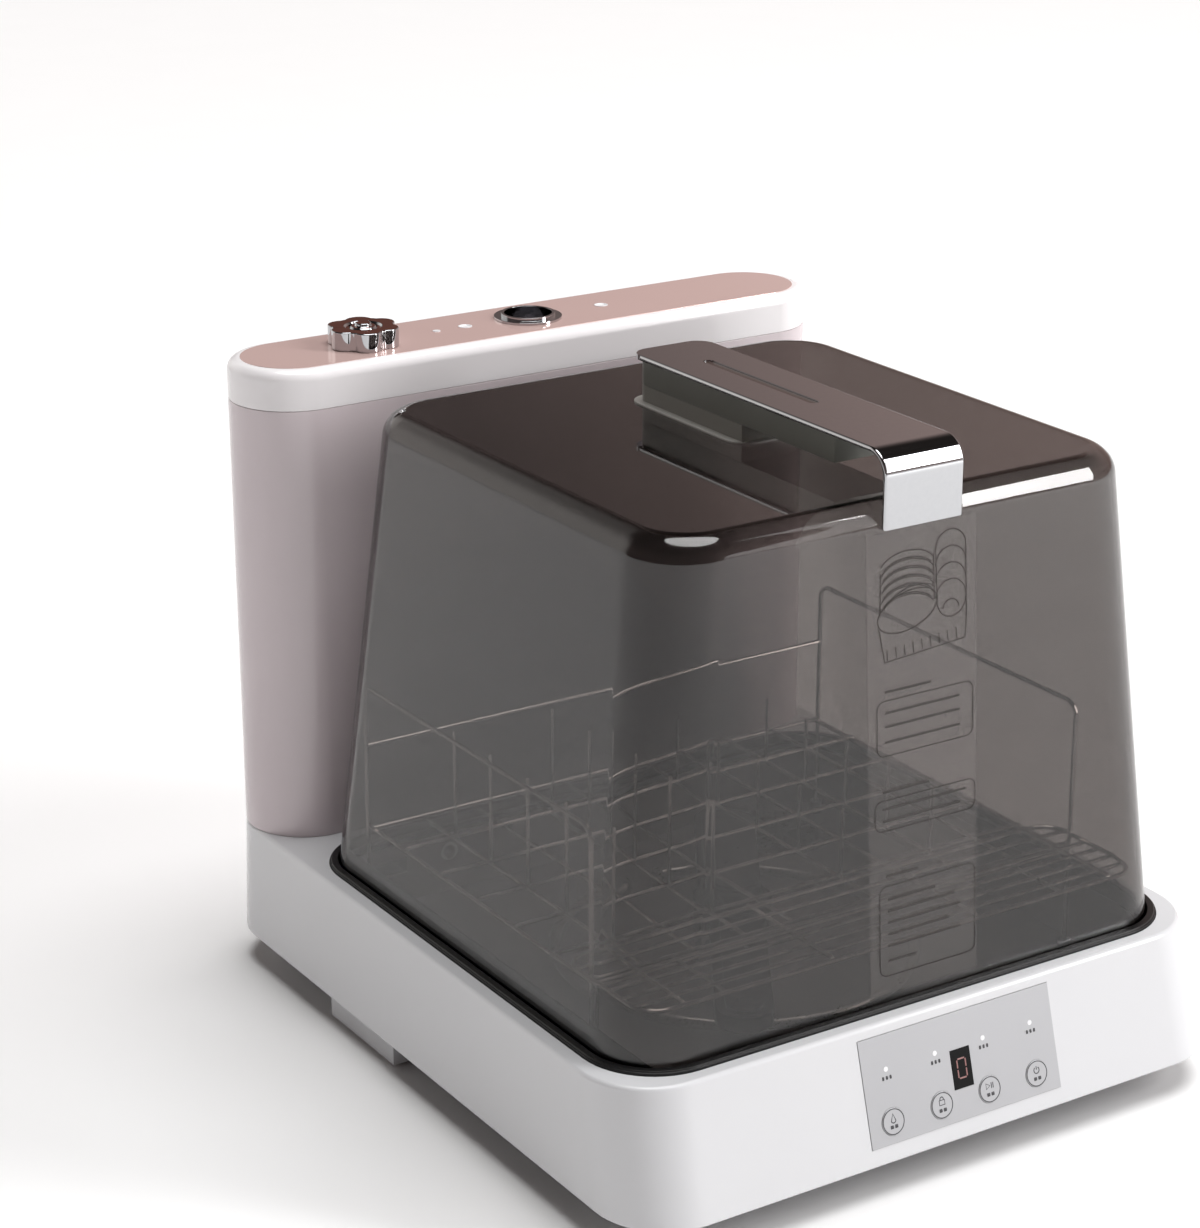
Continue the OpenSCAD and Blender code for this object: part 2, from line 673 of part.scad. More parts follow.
module column_shell() {
  color(white) difference() {
    translate([0, tank_y, rim_z]) stadium(column_w, tank_d, seam_z - rim_z);
    difference() {
      translate([0, tank_y, rim_z + 3]) stadium(column_w - 2 * tank_wall, tank_d - 2 * tank_wall, tank_h);
      for (x = [-1, 1]) for (y = [-1, 1])
        rod_z(rim_z, rim_z + 18, x * col_screw_x, tank_y + y * col_screw_y, 9);
    }
    for (x = [-1, 1]) for (y = [-1, 1])
      rod_z(rim_z - 1, rim_z + 16, x * col_screw_x, tank_y + y * col_screw_y, screw_d);
    rod_z(rim_z - 1, rim_z + 5, fill_x, tank_y, 13);
    translate([duct_x - 22.5, tank_y - 23, rim_z - 1]) cube([45, 18, 5]);
    translate([20, tank_y - 10, rim_z - 1]) cube([60, 20, 5]);
    // intake slots of the drying fan in the back wall
    for (i = [0 : 6]) translate([duct_x - 22, back_y - 5, rim_z + 18 + i * 6]) cube([44, 10, 3]);
  }
}

module column_cover() {
  module round_top(l) { // prism with a rounded top edge, ends revolved
    h = cap_h;
    module half() {
      difference() {
        union() {
          square([tank_d / 2, h - cap_edge]);
          square([tank_d / 2 - cap_edge, h]);
          translate([tank_d / 2 - cap_edge, h - cap_edge]) circle(r = cap_edge);
        }
        translate([-tank_d, -1]) square([tank_d, h + 2]);
      }
    }
    union() {
      for (s = [-1, 1]) translate([s * (l / 2 - tank_d / 2), 0, 0]) rotate_extrude() half();
      translate([-l / 2 + tank_d / 2, 0, 0]) rotate([90, 0, 90]) linear_extrude(l - tank_d) union() {
        half();
        mirror([1, 0]) half();
      }
    }
  }
  color(white) difference() {
    union() {
      translate([0, tank_y, seam_z]) round_top(column_w);
      translate([0, tank_y, seam_z - 6])
        stadium(column_w - 2 * tank_wall - 0.6, tank_d - 2 * tank_wall - 0.6, 7);
    }
    translate([0, tank_y, seam_z - 7])
      stadium(column_w - 2 * tank_wall - 4.6, tank_d - 2 * tank_wall - 4.6, cap_h + 7 - 3.5);
    translate([0, tank_y, tank_top - 1])
      stadium(column_w - 2 * cap_edge - 1.6, tank_d - 2 * cap_edge - 1.6, 5);
    rod_z(tank_top - 10, tank_top + 5, 0, tank_y, 37);
    for (x = [57, -45.5]) rod_z(tank_top - 10, tank_top + 5, x, tank_y + 2, 9.2);
    rod_z(tank_top - 10, tank_top + 5, -67, tank_y + 1, 5.2);
  }
}

module top_plate() {
  color(rose) difference() {
    translate([0, tank_y, tank_top - 1])
      stadium(column_w - 2 * cap_edge - 2, tank_d - 2 * cap_edge - 2, 1.4);
    rod_z(tank_top - 10, tank_top + 5, 0, tank_y, 37);
    for (x = [57, -45.5]) rod_z(tank_top - 10, tank_top + 5, x, tank_y + 2, 9.2);
    rod_z(tank_top - 10, tank_top + 5, -67, tank_y + 1, 5.2);
  }
}

module top_lamps() {
  color(white) {
    for (x = [57, -45.5]) translate([x, tank_y + 2, 0]) difference() {
      rod_z(tank_top - 5, tank_top + 0.6, 0, 0, 9);
      translate([0, 0, tank_top + 5]) sphere(r = 5.8);
    }
    rod_z(tank_top - 5, tank_top + 0.8, -67, tank_y + 1, 5);
  }
}

module inner_tank() {
  color([0.9, 0.92, 0.95, 0.6]) difference() {
    union() {
      translate([0, tank_y, inner_z]) stadium(column_w - 40, tank_d - 10, seam_z - 8 - inner_z);
      rod_z(inner_z - 20, inner_z + 1, fill_x, tank_y, 12);
    }
    translate([0, tank_y, inner_z + 2.5]) stadium(column_w - 45, tank_d - 15, seam_z - 13 - inner_z);
    rod_z(inner_z - 21, inner_z + 5, fill_x, tank_y, 8);
    rod_z(seam_z - 20, seam_z, 0, tank_y, 37.4);
  }
}

module fill_ring() {
  color(chrome) translate([0, tank_y, 0]) difference() {
    union() {
      rod_z(tank_top + 0.4, tank_top + 2, 0, 0, fill_ring_d);
      rod_z(tank_top - 36, tank_top + 1, 0, 0, 36.6);
      rod_z(tank_top + 0.4, tank_top + 4, 0, 0, 35);
    }
    rod_z(tank_top - 34, tank_top + 10, 0, 0, 31);
    for (r = [0, 6, 12]) for (a = [0 : 60 : 359]) if (r > 0 || a == 0)
      rotate([0, 0, a + r]) translate([r, 0, tank_top - 40]) cylinder(d = 3.2, h = 10);
  }
}

module filler_cap() {
  color(chrome) translate([cap_knob_x, tank_y - 2, tank_top + 0.4]) difference() {
    union() {
      linear_extrude(cap_knob_h) union() {
        circle(d = cap_knob_d - 7);
        for (a = [0 : 60 : 300]) rotate(a + 12) translate([cap_knob_d / 2 - 9, 0]) circle(d = 18);
      }
      cylinder(d = 10, h = cap_knob_h + 2);
    }
    translate([0, 0, -1]) cylinder(d = 35, h = 5);
    translate([0, 0, cap_knob_h - 1.4]) difference() {
      cylinder(d = 23, h = 3);
      translate([0, 0, -1]) cylinder(d = 16, h = 5);
    }
  }
}

module column_screws() {
  color(steel) for (x = [-1, 1]) for (y = [-1, 1])
    translate([x * col_screw_x, tank_y + y * col_screw_y, 0]) union() {
      rod_z(rim_z - 5.2, rim_z - 3, 0, 0, 6);
      rod_z(rim_z - 3.1, rim_z + 14, 0, 0, screw_d - run);
  }
}

module fill_pump() {
  color(dark) translate([fill_x, tank_y, 0]) difference() {
    union() {
      rod_z(rim_z + 3, rim_z + 56, 0, 0, 34);
    }
    rod_z(inner_z - 22, inner_z, 0, 0, 12.4);
    rod_z(rim_z + 2, rim_z + 12, 0, 0, 12.4);
  }
}

module fill_tube() {
  module path(d) {
    rod_z(fill_z + 12, rim_z + 11, fill_x, tank_y, d);
    translate([fill_x, tank_y - 12, fill_z + 12]) rotate([0, 90, 0]) bend(12, d);
    rod_y(tub_back - tub_wall, tank_y - 12, fill_x, fill_z, d);
  }
  color(white) difference() {
    union() path(12);
    union() path(8.5);
  }
}

module fan_housing() {
  color(dark) translate([duct_x, tank_y, rim_z + 36]) difference() {
    union() {
      difference() {
        translate([-30, -6, -33]) cube([60, 24, 62]);
        translate([0, -7, 0]) rotate([-90, 0, 0]) cylinder(d = 54, h = 22);
      }
      for (a = [0 : 90 : 270]) rotate([0, a + 45, 0]) translate([-2, 14.9, 0]) cube([4, 3, 28]);
      rod_y(2, 17.9, 0, 0, 6 - run);
      rod_y(14.9, 17.9, 0, 0, 18);
    }
    for (a = [0 : 90 : 270]) rotate([0, a, 0]) translate([6, 14.8, 6]) cube([12, 5, 12]);
  }
}

module fan_rotor() {
  color(grey) translate([duct_x, tank_y, rim_z + 36]) difference() {
    union() {
      rod_y(0, 13.5, 0, 0, 20);
      for (a = [0 : 360 / 7 : 359]) rotate([0, a, 0]) translate([0, 6.5, 8]) rotate([0, 0, 32])
        translate([-7, -0.8, 0]) cube([14, 1.6, 17]);
    }
    rod_y(1.5, 20, 0, 0, 6);
  }
}

module air_duct() {
  color(grey) translate([duct_x, 0, 0]) difference() {
    union() {
      translate([-29, tank_y - 22, rim_z + 5]) cube([58, 15.9, 58]);
      translate([-22, tank_y - 22, duct_z - 2]) cube([44, 15.9, rim_z + 8 - duct_z]);
      translate([-22, tub_back, duct_z - 2]) cube([44, tank_y - 21 - tub_back, 15]);
    }
    translate([-27, tank_y - 20, rim_z + 7]) cube([54, 20, 54]);
    translate([-20, tank_y - 20, duct_z]) cube([40, 12, rim_z + 8 - duct_z]);
    translate([-20, tub_back - 1, duct_z]) cube([40, tank_y - 10 - tub_back, 11]);
  }
}

module hood_level(z, w, d, r) {
  for (sx = [-1, 1]) for (sy = [-1, 1])
    translate([sx * (w / 2 - r), hood_y + sy * (d / 2 - r), z]) cylinder(r = r, h = 0.02, $fn = 48);
}
function at_w(z) = hood_w - 2 * hood_draft_x * (z - hood_z) / hood_h;
function at_d(z) = hood_d - 2 * hood_draft_y * (z - hood_z) / hood_h;
module hood_solid(off, drop) {
  e = hood_edge - off;
  zt = hood_top - off;
  hull() {
    hood_level(hood_z - drop, at_w(hood_z - drop) - 2 * off, at_d(hood_z - drop) - 2 * off,
      hood_corner - off);
    for (t = [0 : 22.5 : 90]) {
      z = zt - e + e * sin(t);
      i = off + e * (1 - cos(t));
      hood_level(z - 0.02, at_w(z) - 2 * i, at_d(z) - 2 * i, hood_corner - i);
    }
  }
}

module hood() {
  color(smoke) difference() {
    hood_solid(0, 0);
    hood_solid(hood_wall, 1);
    for (y = grip_screws) rod_z(hood_top - 10, hood_top + 5, handle_x, y, 4.4);
  }
}

leg_y = hood_front + hood_draft_y * (hood_h - leg_drop) / hood_h - strip_t - 0.2;
strip_top = hood_top + handle_rise;
bend_r = 15;
handle_back = leg_y + bend_r + handle_len;
grip_z = strip_top - strip_t - 16;
grip_w = handle_w - 7;
grip_back = handle_back - 3.5;
groove_l = 108; // groove in the strip
grip_front = leg_y + 50;
plinth_front = leg_y + 138;
grip_screws = [handle_back - 22, handle_back - 82];

module handle_strip() {
  r = 12;
  color(chrome) translate([handle_x, 0, 0]) difference() {
    union() {
      translate([-handle_w / 2, leg_y + bend_r, strip_top - strip_t])
        cube([handle_w, handle_len - r, strip_t]);
      translate([-handle_w / 2 + r, leg_y + bend_r, strip_top - strip_t])
        cube([handle_w - 2 * r, handle_len, strip_t]);
      for (s = [-1, 1])
        rod_z(strip_top - strip_t, strip_top, s * (handle_w / 2 - r), handle_back - r, 2 * r);
      translate([-handle_w / 2, leg_y + bend_r, strip_top - bend_r]) rotate([90, 0, 90])
        rotate([0, 0, 90]) strip_bend(handle_w);
      translate([-handle_w / 2, leg_y, hood_top - leg_drop])
        cube([handle_w, strip_t, strip_top - bend_r - hood_top + leg_drop]);
    }
    // groove along the strip
    translate([0, handle_back - groove_l / 2 - 43, strip_top - 1.2]) rotate([0, 0, 90]) stadium(groove_l, 5, 3);
  }
}
module strip_bend(w) { // quarter bend of the strip, axis along its width
  rotate_extrude(angle = 90) translate([bend_r - strip_t, 0]) square([strip_t, w]);
}

module handle_grip() {
  color(dark) translate([handle_x, 0, 0]) difference() {
    union() {
      translate([-grip_w / 2, grip_front, grip_z]) cube([grip_w, grip_back - grip_front - 9, 16]);
      translate([-grip_w / 2 + 9, grip_front, grip_z]) cube([grip_w - 18, grip_back - grip_front, 16]);
      for (s = [-1, 1]) rod_z(grip_z, grip_z + 16, s * (grip_w / 2 - 9), grip_back - 9, 18);
    }
    for (y = grip_screws) rod_z(grip_z - 1, grip_z + 10, 0, y, 4);
    translate([-grip_w, grip_front, grip_z]) rotate([-38, 0, 0]) translate([0, -40, -60])
      cube([2 * grip_w, 56, 60]);
  }
}

module handle_plinth() {
  color(dark) translate([handle_x, 0, 0]) difference() {
    union() {
      translate([-grip_w / 2, plinth_front, hood_top])
        cube([grip_w, grip_back - plinth_front - 9, grip_z - hood_top]);
      translate([-grip_w / 2 + 9, plinth_front, hood_top])
        cube([grip_w - 18, grip_back - plinth_front, grip_z - hood_top]);
      for (s = [-1, 1]) rod_z(hood_top, grip_z, s * (grip_w / 2 - 9), grip_back - 9, 18);
    }
    for (y = grip_screws) rod_z(hood_top - 1, grip_z + 1, 0, y, 4.4);
  }
}

module handle_screws() {
  color(steel) for (y = grip_screws) translate([handle_x, y, 0]) union() {
    rod_z(hood_top - hood_wall - 2.2, hood_top - hood_wall, 0, 0, 8);
    rod_z(hood_top - hood_wall - 0.1, grip_z + 8, 0, 0, 4 - run);
  }
}

module guide_film() {
  b = atan(hood_draft_y / hood_h);
  color([0.2, 0.2, 0.2, 0.5]) translate([handle_x + 1, hood_front, hood_z]) rotate([90 - b, 0, 0])
    translate([-38, 10, 0.03]) cube([76, (hood_h - leg_drop) / cos(b) - 12, 0.3]);
}

// Wire basket. Each wire that ends in another is a little thinner than that one.
// Basket floor: an outer frame of wire that lies inside the four posts, with wires welded across it
module basket() {
  w = wire_d;
  gx = frame_x - w - weld;
  color(steel) union() {
    for (s = [-1, 1]) rod_y(basket_front - w / 2, basket_back + w / 2, s * gx, grid_z, w - 0.2);
    for (y = [basket_front, basket_back]) rod_x(-gx, gx, y, grid_z, w - 0.3);
    for (x = wire_xs) rod_y(basket_front, basket_back, x * frame_x, grid_z, w - 0.5);
    for (y = tine_ys) rod_x(-gx, gx, y, grid_z + 0.7 * w, w - 0.4);
  }
}

// Posts, bent top bars, back rod, and the front bar with the two arms that carry the cutlery shelf
module basket_frames() {
  w = wire_d;
  across = frame_x - w / 2 - weld;
  bar_y = basket_front;
  color(steel) {
    for (s = [-1, 1]) {
      for (y = [basket_front, basket_back])
        rod_z(foot_z + 2, frame_top - frame_r - weld, s * frame_x, y, w);
      union() {
        rod_y(basket_front + frame_r, basket_back - frame_r, s * frame_x, frame_top, w);
        translate([s * frame_x, basket_front + frame_r, frame_top - frame_r]) rotate([0, -90, 0])
          rotate([0, 0, -90]) bend(frame_r, w);
        translate([s * frame_x, basket_back - frame_r, frame_top - frame_r]) rotate([0, -90, 0])
          bend(frame_r, w);
      }
      rod_y(shelf_front + 5, bar_y - w / 2 - weld, s * (frame_x - 52), rail_z, w - 0.4);
    }
    rod_x(-across, across, bar_y, rail_z, w - 0.2);
    rod_x(-across, across, basket_back, frame_top - 40, w - 0.2);
  }
}

// Plate tines on the left and short cup tines on the right
module basket_tines() {
  w = wire_d;
  foot = grid_z + 1.2 * w - 0.2 + weld;
  color(steel) for (y = tine_ys) {
    for (x = [wire_xs[0], wire_xs[2]]) rod_z(foot, grid_z + tine_h, x * frame_x, y, w - 0.6);
    for (x = [wire_xs[4], wire_xs[6]]) rod_z(foot, grid_z + tine_h * 0.62, x * frame_x, y, w - 0.6);
  }
}

module cutlery_shelf() {
  w = wire_d;
  r = 16;
  sw = shelf_w / 2;
  color(steel) translate([0, 0, shelf_z]) union() {
    rod_x(-sw + r, sw - r, shelf_front, 0, w);
    rod_x(-sw + r, sw - r, shelf_back, 0, w);
    for (s = [-1, 1]) rod_y(shelf_front + r, shelf_back - r, s * sw, 0, w);
    translate([sw - r, shelf_back - r, 0]) bend(r, w);
    translate([-sw + r, shelf_back - r, 0]) rotate([0, 0, 90]) bend(r, w);
    translate([-sw + r, shelf_front + r, 0]) rotate([0, 0, 180]) bend(r, w);
    translate([sw - r, shelf_front + r, 0]) rotate([0, 0, 270]) bend(r, w);
    for (y = [-46, -34, -22, -10, 10]) rod_x(-sw + 0.5, sw - 0.5, basket_front + y, 0, w - 0.4);
    for (x = [-1, -0.34, 0.34, 1]) rod_y(shelf_front, shelf_back, x * (sw - 24), 0.7 * w, w - 0.4);
  }
}

module basket_feet() {
  color(grey) for (s = [-1, 1]) for (y = [basket_front, basket_back])
    translate([s * frame_x, y, 0]) difference() {
      rod_z(foot_z - 0.1, foot_z + 9, 0, 0, 8);
      rod_z(foot_z + 1.9, foot_z + 20, 0, 0, wire_d + 0.1);
    }
}

base_shell();
base_plate();
base_screws();
rear_feet();
rubber_pads();
front_feet();
tub();
gasket();
filter_cup();
heater();
spindle();
spray_arm();
arm_cap();
sump_float();
float_cage();
wash_pump_volute();
wash_pump_motor();
pump_impeller();
suction_hose();
pressure_hose();
drain_pump();
drain_hose();
drain_outlet();
power_inlet();
power_board();
front_panel();
button_select();
button_lock();
button_start();
button_power();
switches();
lamp_pipes();
display();
control_board();
column_shell();
column_cover();
top_plate();
top_lamps();
inner_tank();
fill_ring();
filler_cap();
column_screws();
fill_pump();
fill_tube();
fan_housing();
fan_rotor();
air_duct();
hood();
handle_strip();
handle_grip();
handle_plinth();
handle_screws();
guide_film();
basket();
basket_frames();
basket_tines();
cutlery_shelf();
basket_feet();
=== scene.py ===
import math
import bpy
from mathutils import Matrix, Quaternion, Vector


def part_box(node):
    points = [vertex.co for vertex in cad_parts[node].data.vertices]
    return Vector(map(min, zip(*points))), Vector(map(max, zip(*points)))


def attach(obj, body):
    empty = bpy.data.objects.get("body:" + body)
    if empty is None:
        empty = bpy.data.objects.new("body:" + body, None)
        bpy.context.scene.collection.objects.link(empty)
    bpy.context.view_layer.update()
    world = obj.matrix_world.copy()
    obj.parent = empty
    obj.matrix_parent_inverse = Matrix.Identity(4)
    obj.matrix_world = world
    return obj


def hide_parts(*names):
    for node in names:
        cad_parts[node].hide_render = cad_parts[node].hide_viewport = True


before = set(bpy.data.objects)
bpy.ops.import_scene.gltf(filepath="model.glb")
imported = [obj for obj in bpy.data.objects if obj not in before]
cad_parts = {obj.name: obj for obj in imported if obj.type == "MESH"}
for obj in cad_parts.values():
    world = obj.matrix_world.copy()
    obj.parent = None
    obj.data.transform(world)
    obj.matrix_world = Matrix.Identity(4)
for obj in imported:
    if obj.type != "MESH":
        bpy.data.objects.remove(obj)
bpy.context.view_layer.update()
MM = 0.001

# Camera. It stands in front of the left corner and looks down at the dishwasher, at the photo's angle.
# The lens is a long one, so the upright edges stay nearly parallel.
camera_place = (-1.0000, -1.4388, 0.8927)
sensor_mm = 36
lens_per_sensor = 2.506
camera_yaw = math.radians(32.63)
camera_pitch = math.radians(19.76)
camera_roll = math.radians(0.08)
bpy.ops.object.camera_add(location=camera_place)
camera = bpy.context.object
turn = Matrix.Rotation(-camera_yaw, 4, "Z") @ Matrix.Rotation(math.pi / 2 - camera_pitch, 4, "X")
camera.rotation_euler = (turn @ Matrix.Rotation(-camera_roll, 4, "Z")).to_euler()
camera.data.sensor_width = sensor_mm
camera.data.lens = lens_per_sensor * sensor_mm
bpy.context.scene.camera = camera
bpy.context.scene.view_settings.view_transform = "Standard"


# Base housing. A white ABS moulding with a gloss finish: the front slopes, the sides lean a little, and the
# deck has a large opening for the tub. Its corners are wide arcs and its rims are rolled over.
same = 1e-5  # metres within which two places count as one
weld = 1e-6  # metres within which points are merged


def linear(code):
    """The linear RGBA of an sRGB hex value such as "F0F1F2"."""
    parts = [int(code[i:i + 2], 16) / 255 for i in (0, 2, 4)]
    return tuple(c / 12.92 if c <= 0.04045 else ((c + 0.055) / 1.055) ** 2.4 for c in parts) + (1.0,)


def add(tree, kind, inputs=None, **settings):
    """Adds one shader node with its settings. An input is a value, or a (node, output name) pair to link."""
    made = tree.nodes.new(kind)
    for key, value in settings.items():
        setattr(made, key, value)
    for socket, value in (inputs or {}).items():
        if isinstance(value, tuple) and isinstance(value[0], bpy.types.Node):
            tree.links.new(value[0].outputs[value[1]], made.inputs[socket])
        else:
            made.inputs[socket].default_value = value
    return made


def moulded(name, light, dark, roughness, grain_mm, depth_mm, **shader):
    """A moulded plastic or rubber: a faint drift of colour between two hex values, and a fine grain."""
    drifts_per_metre = 9.0  # the colour drifts over about 110 mm
    material = bpy.data.materials.new(name)
    material.use_nodes = True
    tree = material.node_tree
    tree.nodes.clear()
    place = add(tree, "ShaderNodeTexCoord")
    drift = add(tree, "ShaderNodeTexNoise",
                {"Vector": (place, "Object"), "Scale": drifts_per_metre, "Detail": 2.0})
    colours = add(tree, "ShaderNodeMix", {"Factor": (drift, "Fac"), "A": linear(light), "B": linear(dark)},
                  data_type="RGBA")
    grain = add(tree, "ShaderNodeTexNoise",
                {"Vector": (place, "Object"), "Scale": 1000 / grain_mm, "Detail": 3.0, "Roughness": 0.6})
    gloss = add(tree, "ShaderNodeMapRange",
                {"Value": (grain, "Fac"), "To Min": roughness * 0.9, "To Max": roughness * 1.15})
    relief = add(tree, "ShaderNodeBump",
                 {"Height": (grain, "Fac"), "Strength": 0.25, "Distance": depth_mm * MM})
    skin = add(tree, "ShaderNodeBsdfPrincipled",
               {"Base Color": (colours, "Result"), "Roughness": (gloss, "Result"),
                "Normal": (relief, "Normal"), **shader})
    add(tree, "ShaderNodeOutputMaterial", {"Surface": (skin, "BSDF")})
    return material


def alone(piece):
    """Makes piece the only selected object and the active one."""
    bpy.ops.object.select_all(action="DESELECT")
    piece.select_set(True)
    bpy.context.view_layer.objects.active = piece


def block(name, low, high):
    """A block from one corner to the other, with its place in its mesh, ready to be shaped."""
    low, high = Vector(low), Vector(high)
    bpy.ops.object.select_all(action="DESELECT")
    bpy.ops.mesh.primitive_cube_add(size=1, location=(low + high) / 2, scale=high - low)
    bpy.ops.object.transform_apply(location=True, rotation=True, scale=True)
    bpy.context.object.name = name
    return bpy.context.object


def pick(piece, kind, test):
    """Goes into edit mode with just those vertices, edges or faces selected that pass the test."""
    alone(piece)
    bpy.ops.object.mode_set(mode="EDIT")
    bpy.ops.mesh.select_mode(type=kind)
    bpy.ops.mesh.select_all(action="DESELECT")
    bpy.ops.object.mode_set(mode="OBJECT")
    points = [v.co for v in piece.data.vertices]
    if kind == "VERT":
        for v in piece.data.vertices:
            v.select = test(v.co)
    elif kind == "EDGE":
        for e in piece.data.edges:
            e.select = test(points[e.vertices[0]], points[e.vertices[1]])
    else:
        for f in piece.data.polygons:
            f.select = test(f.center, f.normal)
    bpy.ops.object.mode_set(mode="EDIT")


def upright(a, b):
    """Whether an edge runs up rather than along."""
    return abs(a.z - b.z) > 0.9 * (a - b).length


def rim_at(height):
    """A test for the edges that lie at one height."""
    return lambda a, b: abs(a.z - height) < same and abs(b.z - height) < same


def round_off(piece, test, radius, steps):
    """Bevels the edges that pass the test."""
    pick(piece, "EDGE", test)
    bpy.ops.mesh.bevel(offset=radius, segments=steps, affect="EDGES", profile=0.5)
    bpy.ops.object.mode_set(mode="OBJECT")


def cut(piece, tool):
    """Takes the tool's shape out of the piece and removes the tool."""
    hole = piece.modifiers.new("cut", "BOOLEAN")
    hole.operation = "DIFFERENCE"
    hole.solver = "EXACT"
    hole.object = tool
    alone(piece)
    bpy.ops.object.modifier_apply(modifier=hole.name)
    bpy.data.objects.remove(tool)


def bar(name, start, end, radius, sides=32):
    """A round bar between two points, with its place in its mesh."""
    start, end = Vector(start), Vector(end)
    bpy.ops.object.select_all(action="DESELECT")
    bpy.ops.mesh.primitive_cylinder_add(vertices=sides, radius=radius, depth=(end - start).length,
                                        location=(start + end) / 2,
                                        rotation=(end - start).to_track_quat("Z", "Y").to_euler())
    bpy.ops.object.transform_apply(location=True, rotation=True, scale=True)
    bpy.context.object.name = name
    return bpy.context.object


def finish(piece, body, slot, material, *nodes, sharp=35):
    """Smooths a piece up to its hard edges, gives it its material and body, and hides the CAD parts it
    stands for.
    """
    alone(piece)
    bpy.ops.object.shade_smooth_by_angle(angle=math.radians(sharp))
    flats = piece.modifiers.new("flats", "WEIGHTED_NORMAL")
    flats.keep_sharp = True
    bpy.ops.object.modifier_apply(modifier=flats.name)
    piece.data.materials.clear()
    piece.data.materials.append(material)
    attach(piece, body)
    if nodes:
        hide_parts(*nodes)


shell_low, shell_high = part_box("base_shell")
front_lean = 22 * MM
side_lean = 3 * MM
front_corner = 43.5 * MM
back_corner = 39.9 * MM
shell_wall = 3 * MM
corner_steps = 14


def housing_form(name, inset, low, high):
    """The housing's outline between two heights, drawn in on all sides by the inset."""
    form = block(name, (shell_low.x + inset, shell_low.y + inset, low),
                 (shell_high.x - inset, shell_high.y - inset, high))
    half = shell_high.x - inset
    for level in (low, high):
        share = (level - shell_low.z) / (shell_high.z - shell_low.z)
        pick(form, "VERT", lambda p: abs(p.z - level) < same and p.y < 0)
        bpy.ops.transform.translate(value=(0, front_lean * share, 0))
        bpy.ops.object.mode_set(mode="OBJECT")
        pick(form, "VERT", lambda p: abs(p.z - level) < same)
        bpy.ops.transform.resize(value=((half - side_lean * share) / half, 1, 1),
                                 center_override=(0, 0, level))
        bpy.ops.object.mode_set(mode="OBJECT")
    back_y = shell_high.y - inset
    round_off(form, lambda a, b: upright(a, b) and a.y < 0, front_corner - inset, corner_steps)
    round_off(form, lambda a, b: upright(a, b) and a.y > back_y - same, back_corner - inset, corner_steps)
    return form


def rounded_block(name, width, depth, low, high, corner, centre_y=0.0, centre_x=0.0, steps=corner_steps):
    """An upright block with rounded corners."""
    form = block(name, (centre_x - width / 2, centre_y - depth / 2, low),
                 (centre_x + width / 2, centre_y + depth / 2, high))
    round_off(form, upright, corner, steps)
    return form


bottom_round = 2 * MM
deck_round = 2.5 * MM
cut_past = 0.3 * MM  # a cutting tool goes this far past the open bottom
housing = housing_form("base_housing", 0, shell_low.z, shell_high.z)
round_off(housing, rim_at(shell_low.z), bottom_round, 4)
round_off(housing, rim_at(shell_high.z), deck_round, 5)
cut(housing, housing_form("pocket", shell_wall, shell_low.z - cut_past, shell_high.z - shell_wall))

gasket_low, gasket_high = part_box("gasket")
opening_gap = 0.5 * MM
opening_corner = 46 * MM
under_deck, over_deck = 0.06, 0.12
opening_w = gasket_high.x - gasket_low.x + 2 * opening_gap
opening_d = gasket_high.y - gasket_low.y + 2 * opening_gap
hood_y = (gasket_high.y + gasket_low.y) / 2
cut(housing, rounded_block("opening", opening_w, opening_d, under_deck, over_deck, opening_corner, hood_y))

# the recess for the panel, the window behind it and the two sockets in the back wall
slope_angle = math.atan(front_lean / (shell_high.z - shell_low.z))
panel_centre = Vector((12.5, -236.93, 60.5)) * MM
on_slope = Matrix.Translation(panel_centre) @ Matrix.Rotation(math.pi / 2 - slope_angle, 4, "X")


def slope_block(name, low, high):
    """A block given in the panel's own plane: x along it, y up the slope, z outwards."""
    form = block(name, low, high)
    form.data.transform(on_slope)
    return form


panel_w, panel_h = 137 * MM, 62.5 * MM
recess_gap = 0.2 * MM
recess_w, recess_h = panel_w / 2 + recess_gap, panel_h / 2 + recess_gap
recess_deep = 1.2 * MM
through_slope = 9 * MM
window_half, window_low, window_high = 63 * MM, -28 * MM, 27 * MM
cut(housing, slope_block("recess", (-recess_w, -recess_h, -recess_deep),
                         (recess_w, recess_h, through_slope)))
cut(housing, slope_block("window", (-window_half, window_low, -through_slope),
                         (window_half, window_high, through_slope)))
outlet_low, outlet_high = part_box("drain_outlet")
outlet = (outlet_low + outlet_high) / 2
outlet_hole = 11.2 * MM
before_back, behind_back = 0.23, 0.26
inlet_left, inlet_right, inlet_bottom, inlet_top = 123 * MM, 153 * MM, 40 * MM, 64 * MM
cut(housing, bar("hole", (outlet.x, before_back, outlet.z), (outlet.x, behind_back, outlet.z), outlet_hole))
cut(housing, block("hole", (inlet_left, before_back, inlet_bottom), (inlet_right, behind_back, inlet_top)))

# Gloss ABS gives an even cool white with a clear sheen, which its fine grain softens a little.
glossy_white_abs = moulded("glossy_white_abs", "DDDEE0", "D8D9DC", 0.22, 1.4, 0.02, IOR=1.53)
finish(housing, "base", "white_plastic", glossy_white_abs, "base_shell")


# Water tank column. A tall white moulding with half-round ends that stands on the base behind the hood.
# Low in its back are open slots for the drying fan.
column_low, column_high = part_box("column_shell")
tank_depth = column_high.y - column_low.y
tank_y = (column_high.y + column_low.y) / 2
tank_width = column_high.x - column_low.x


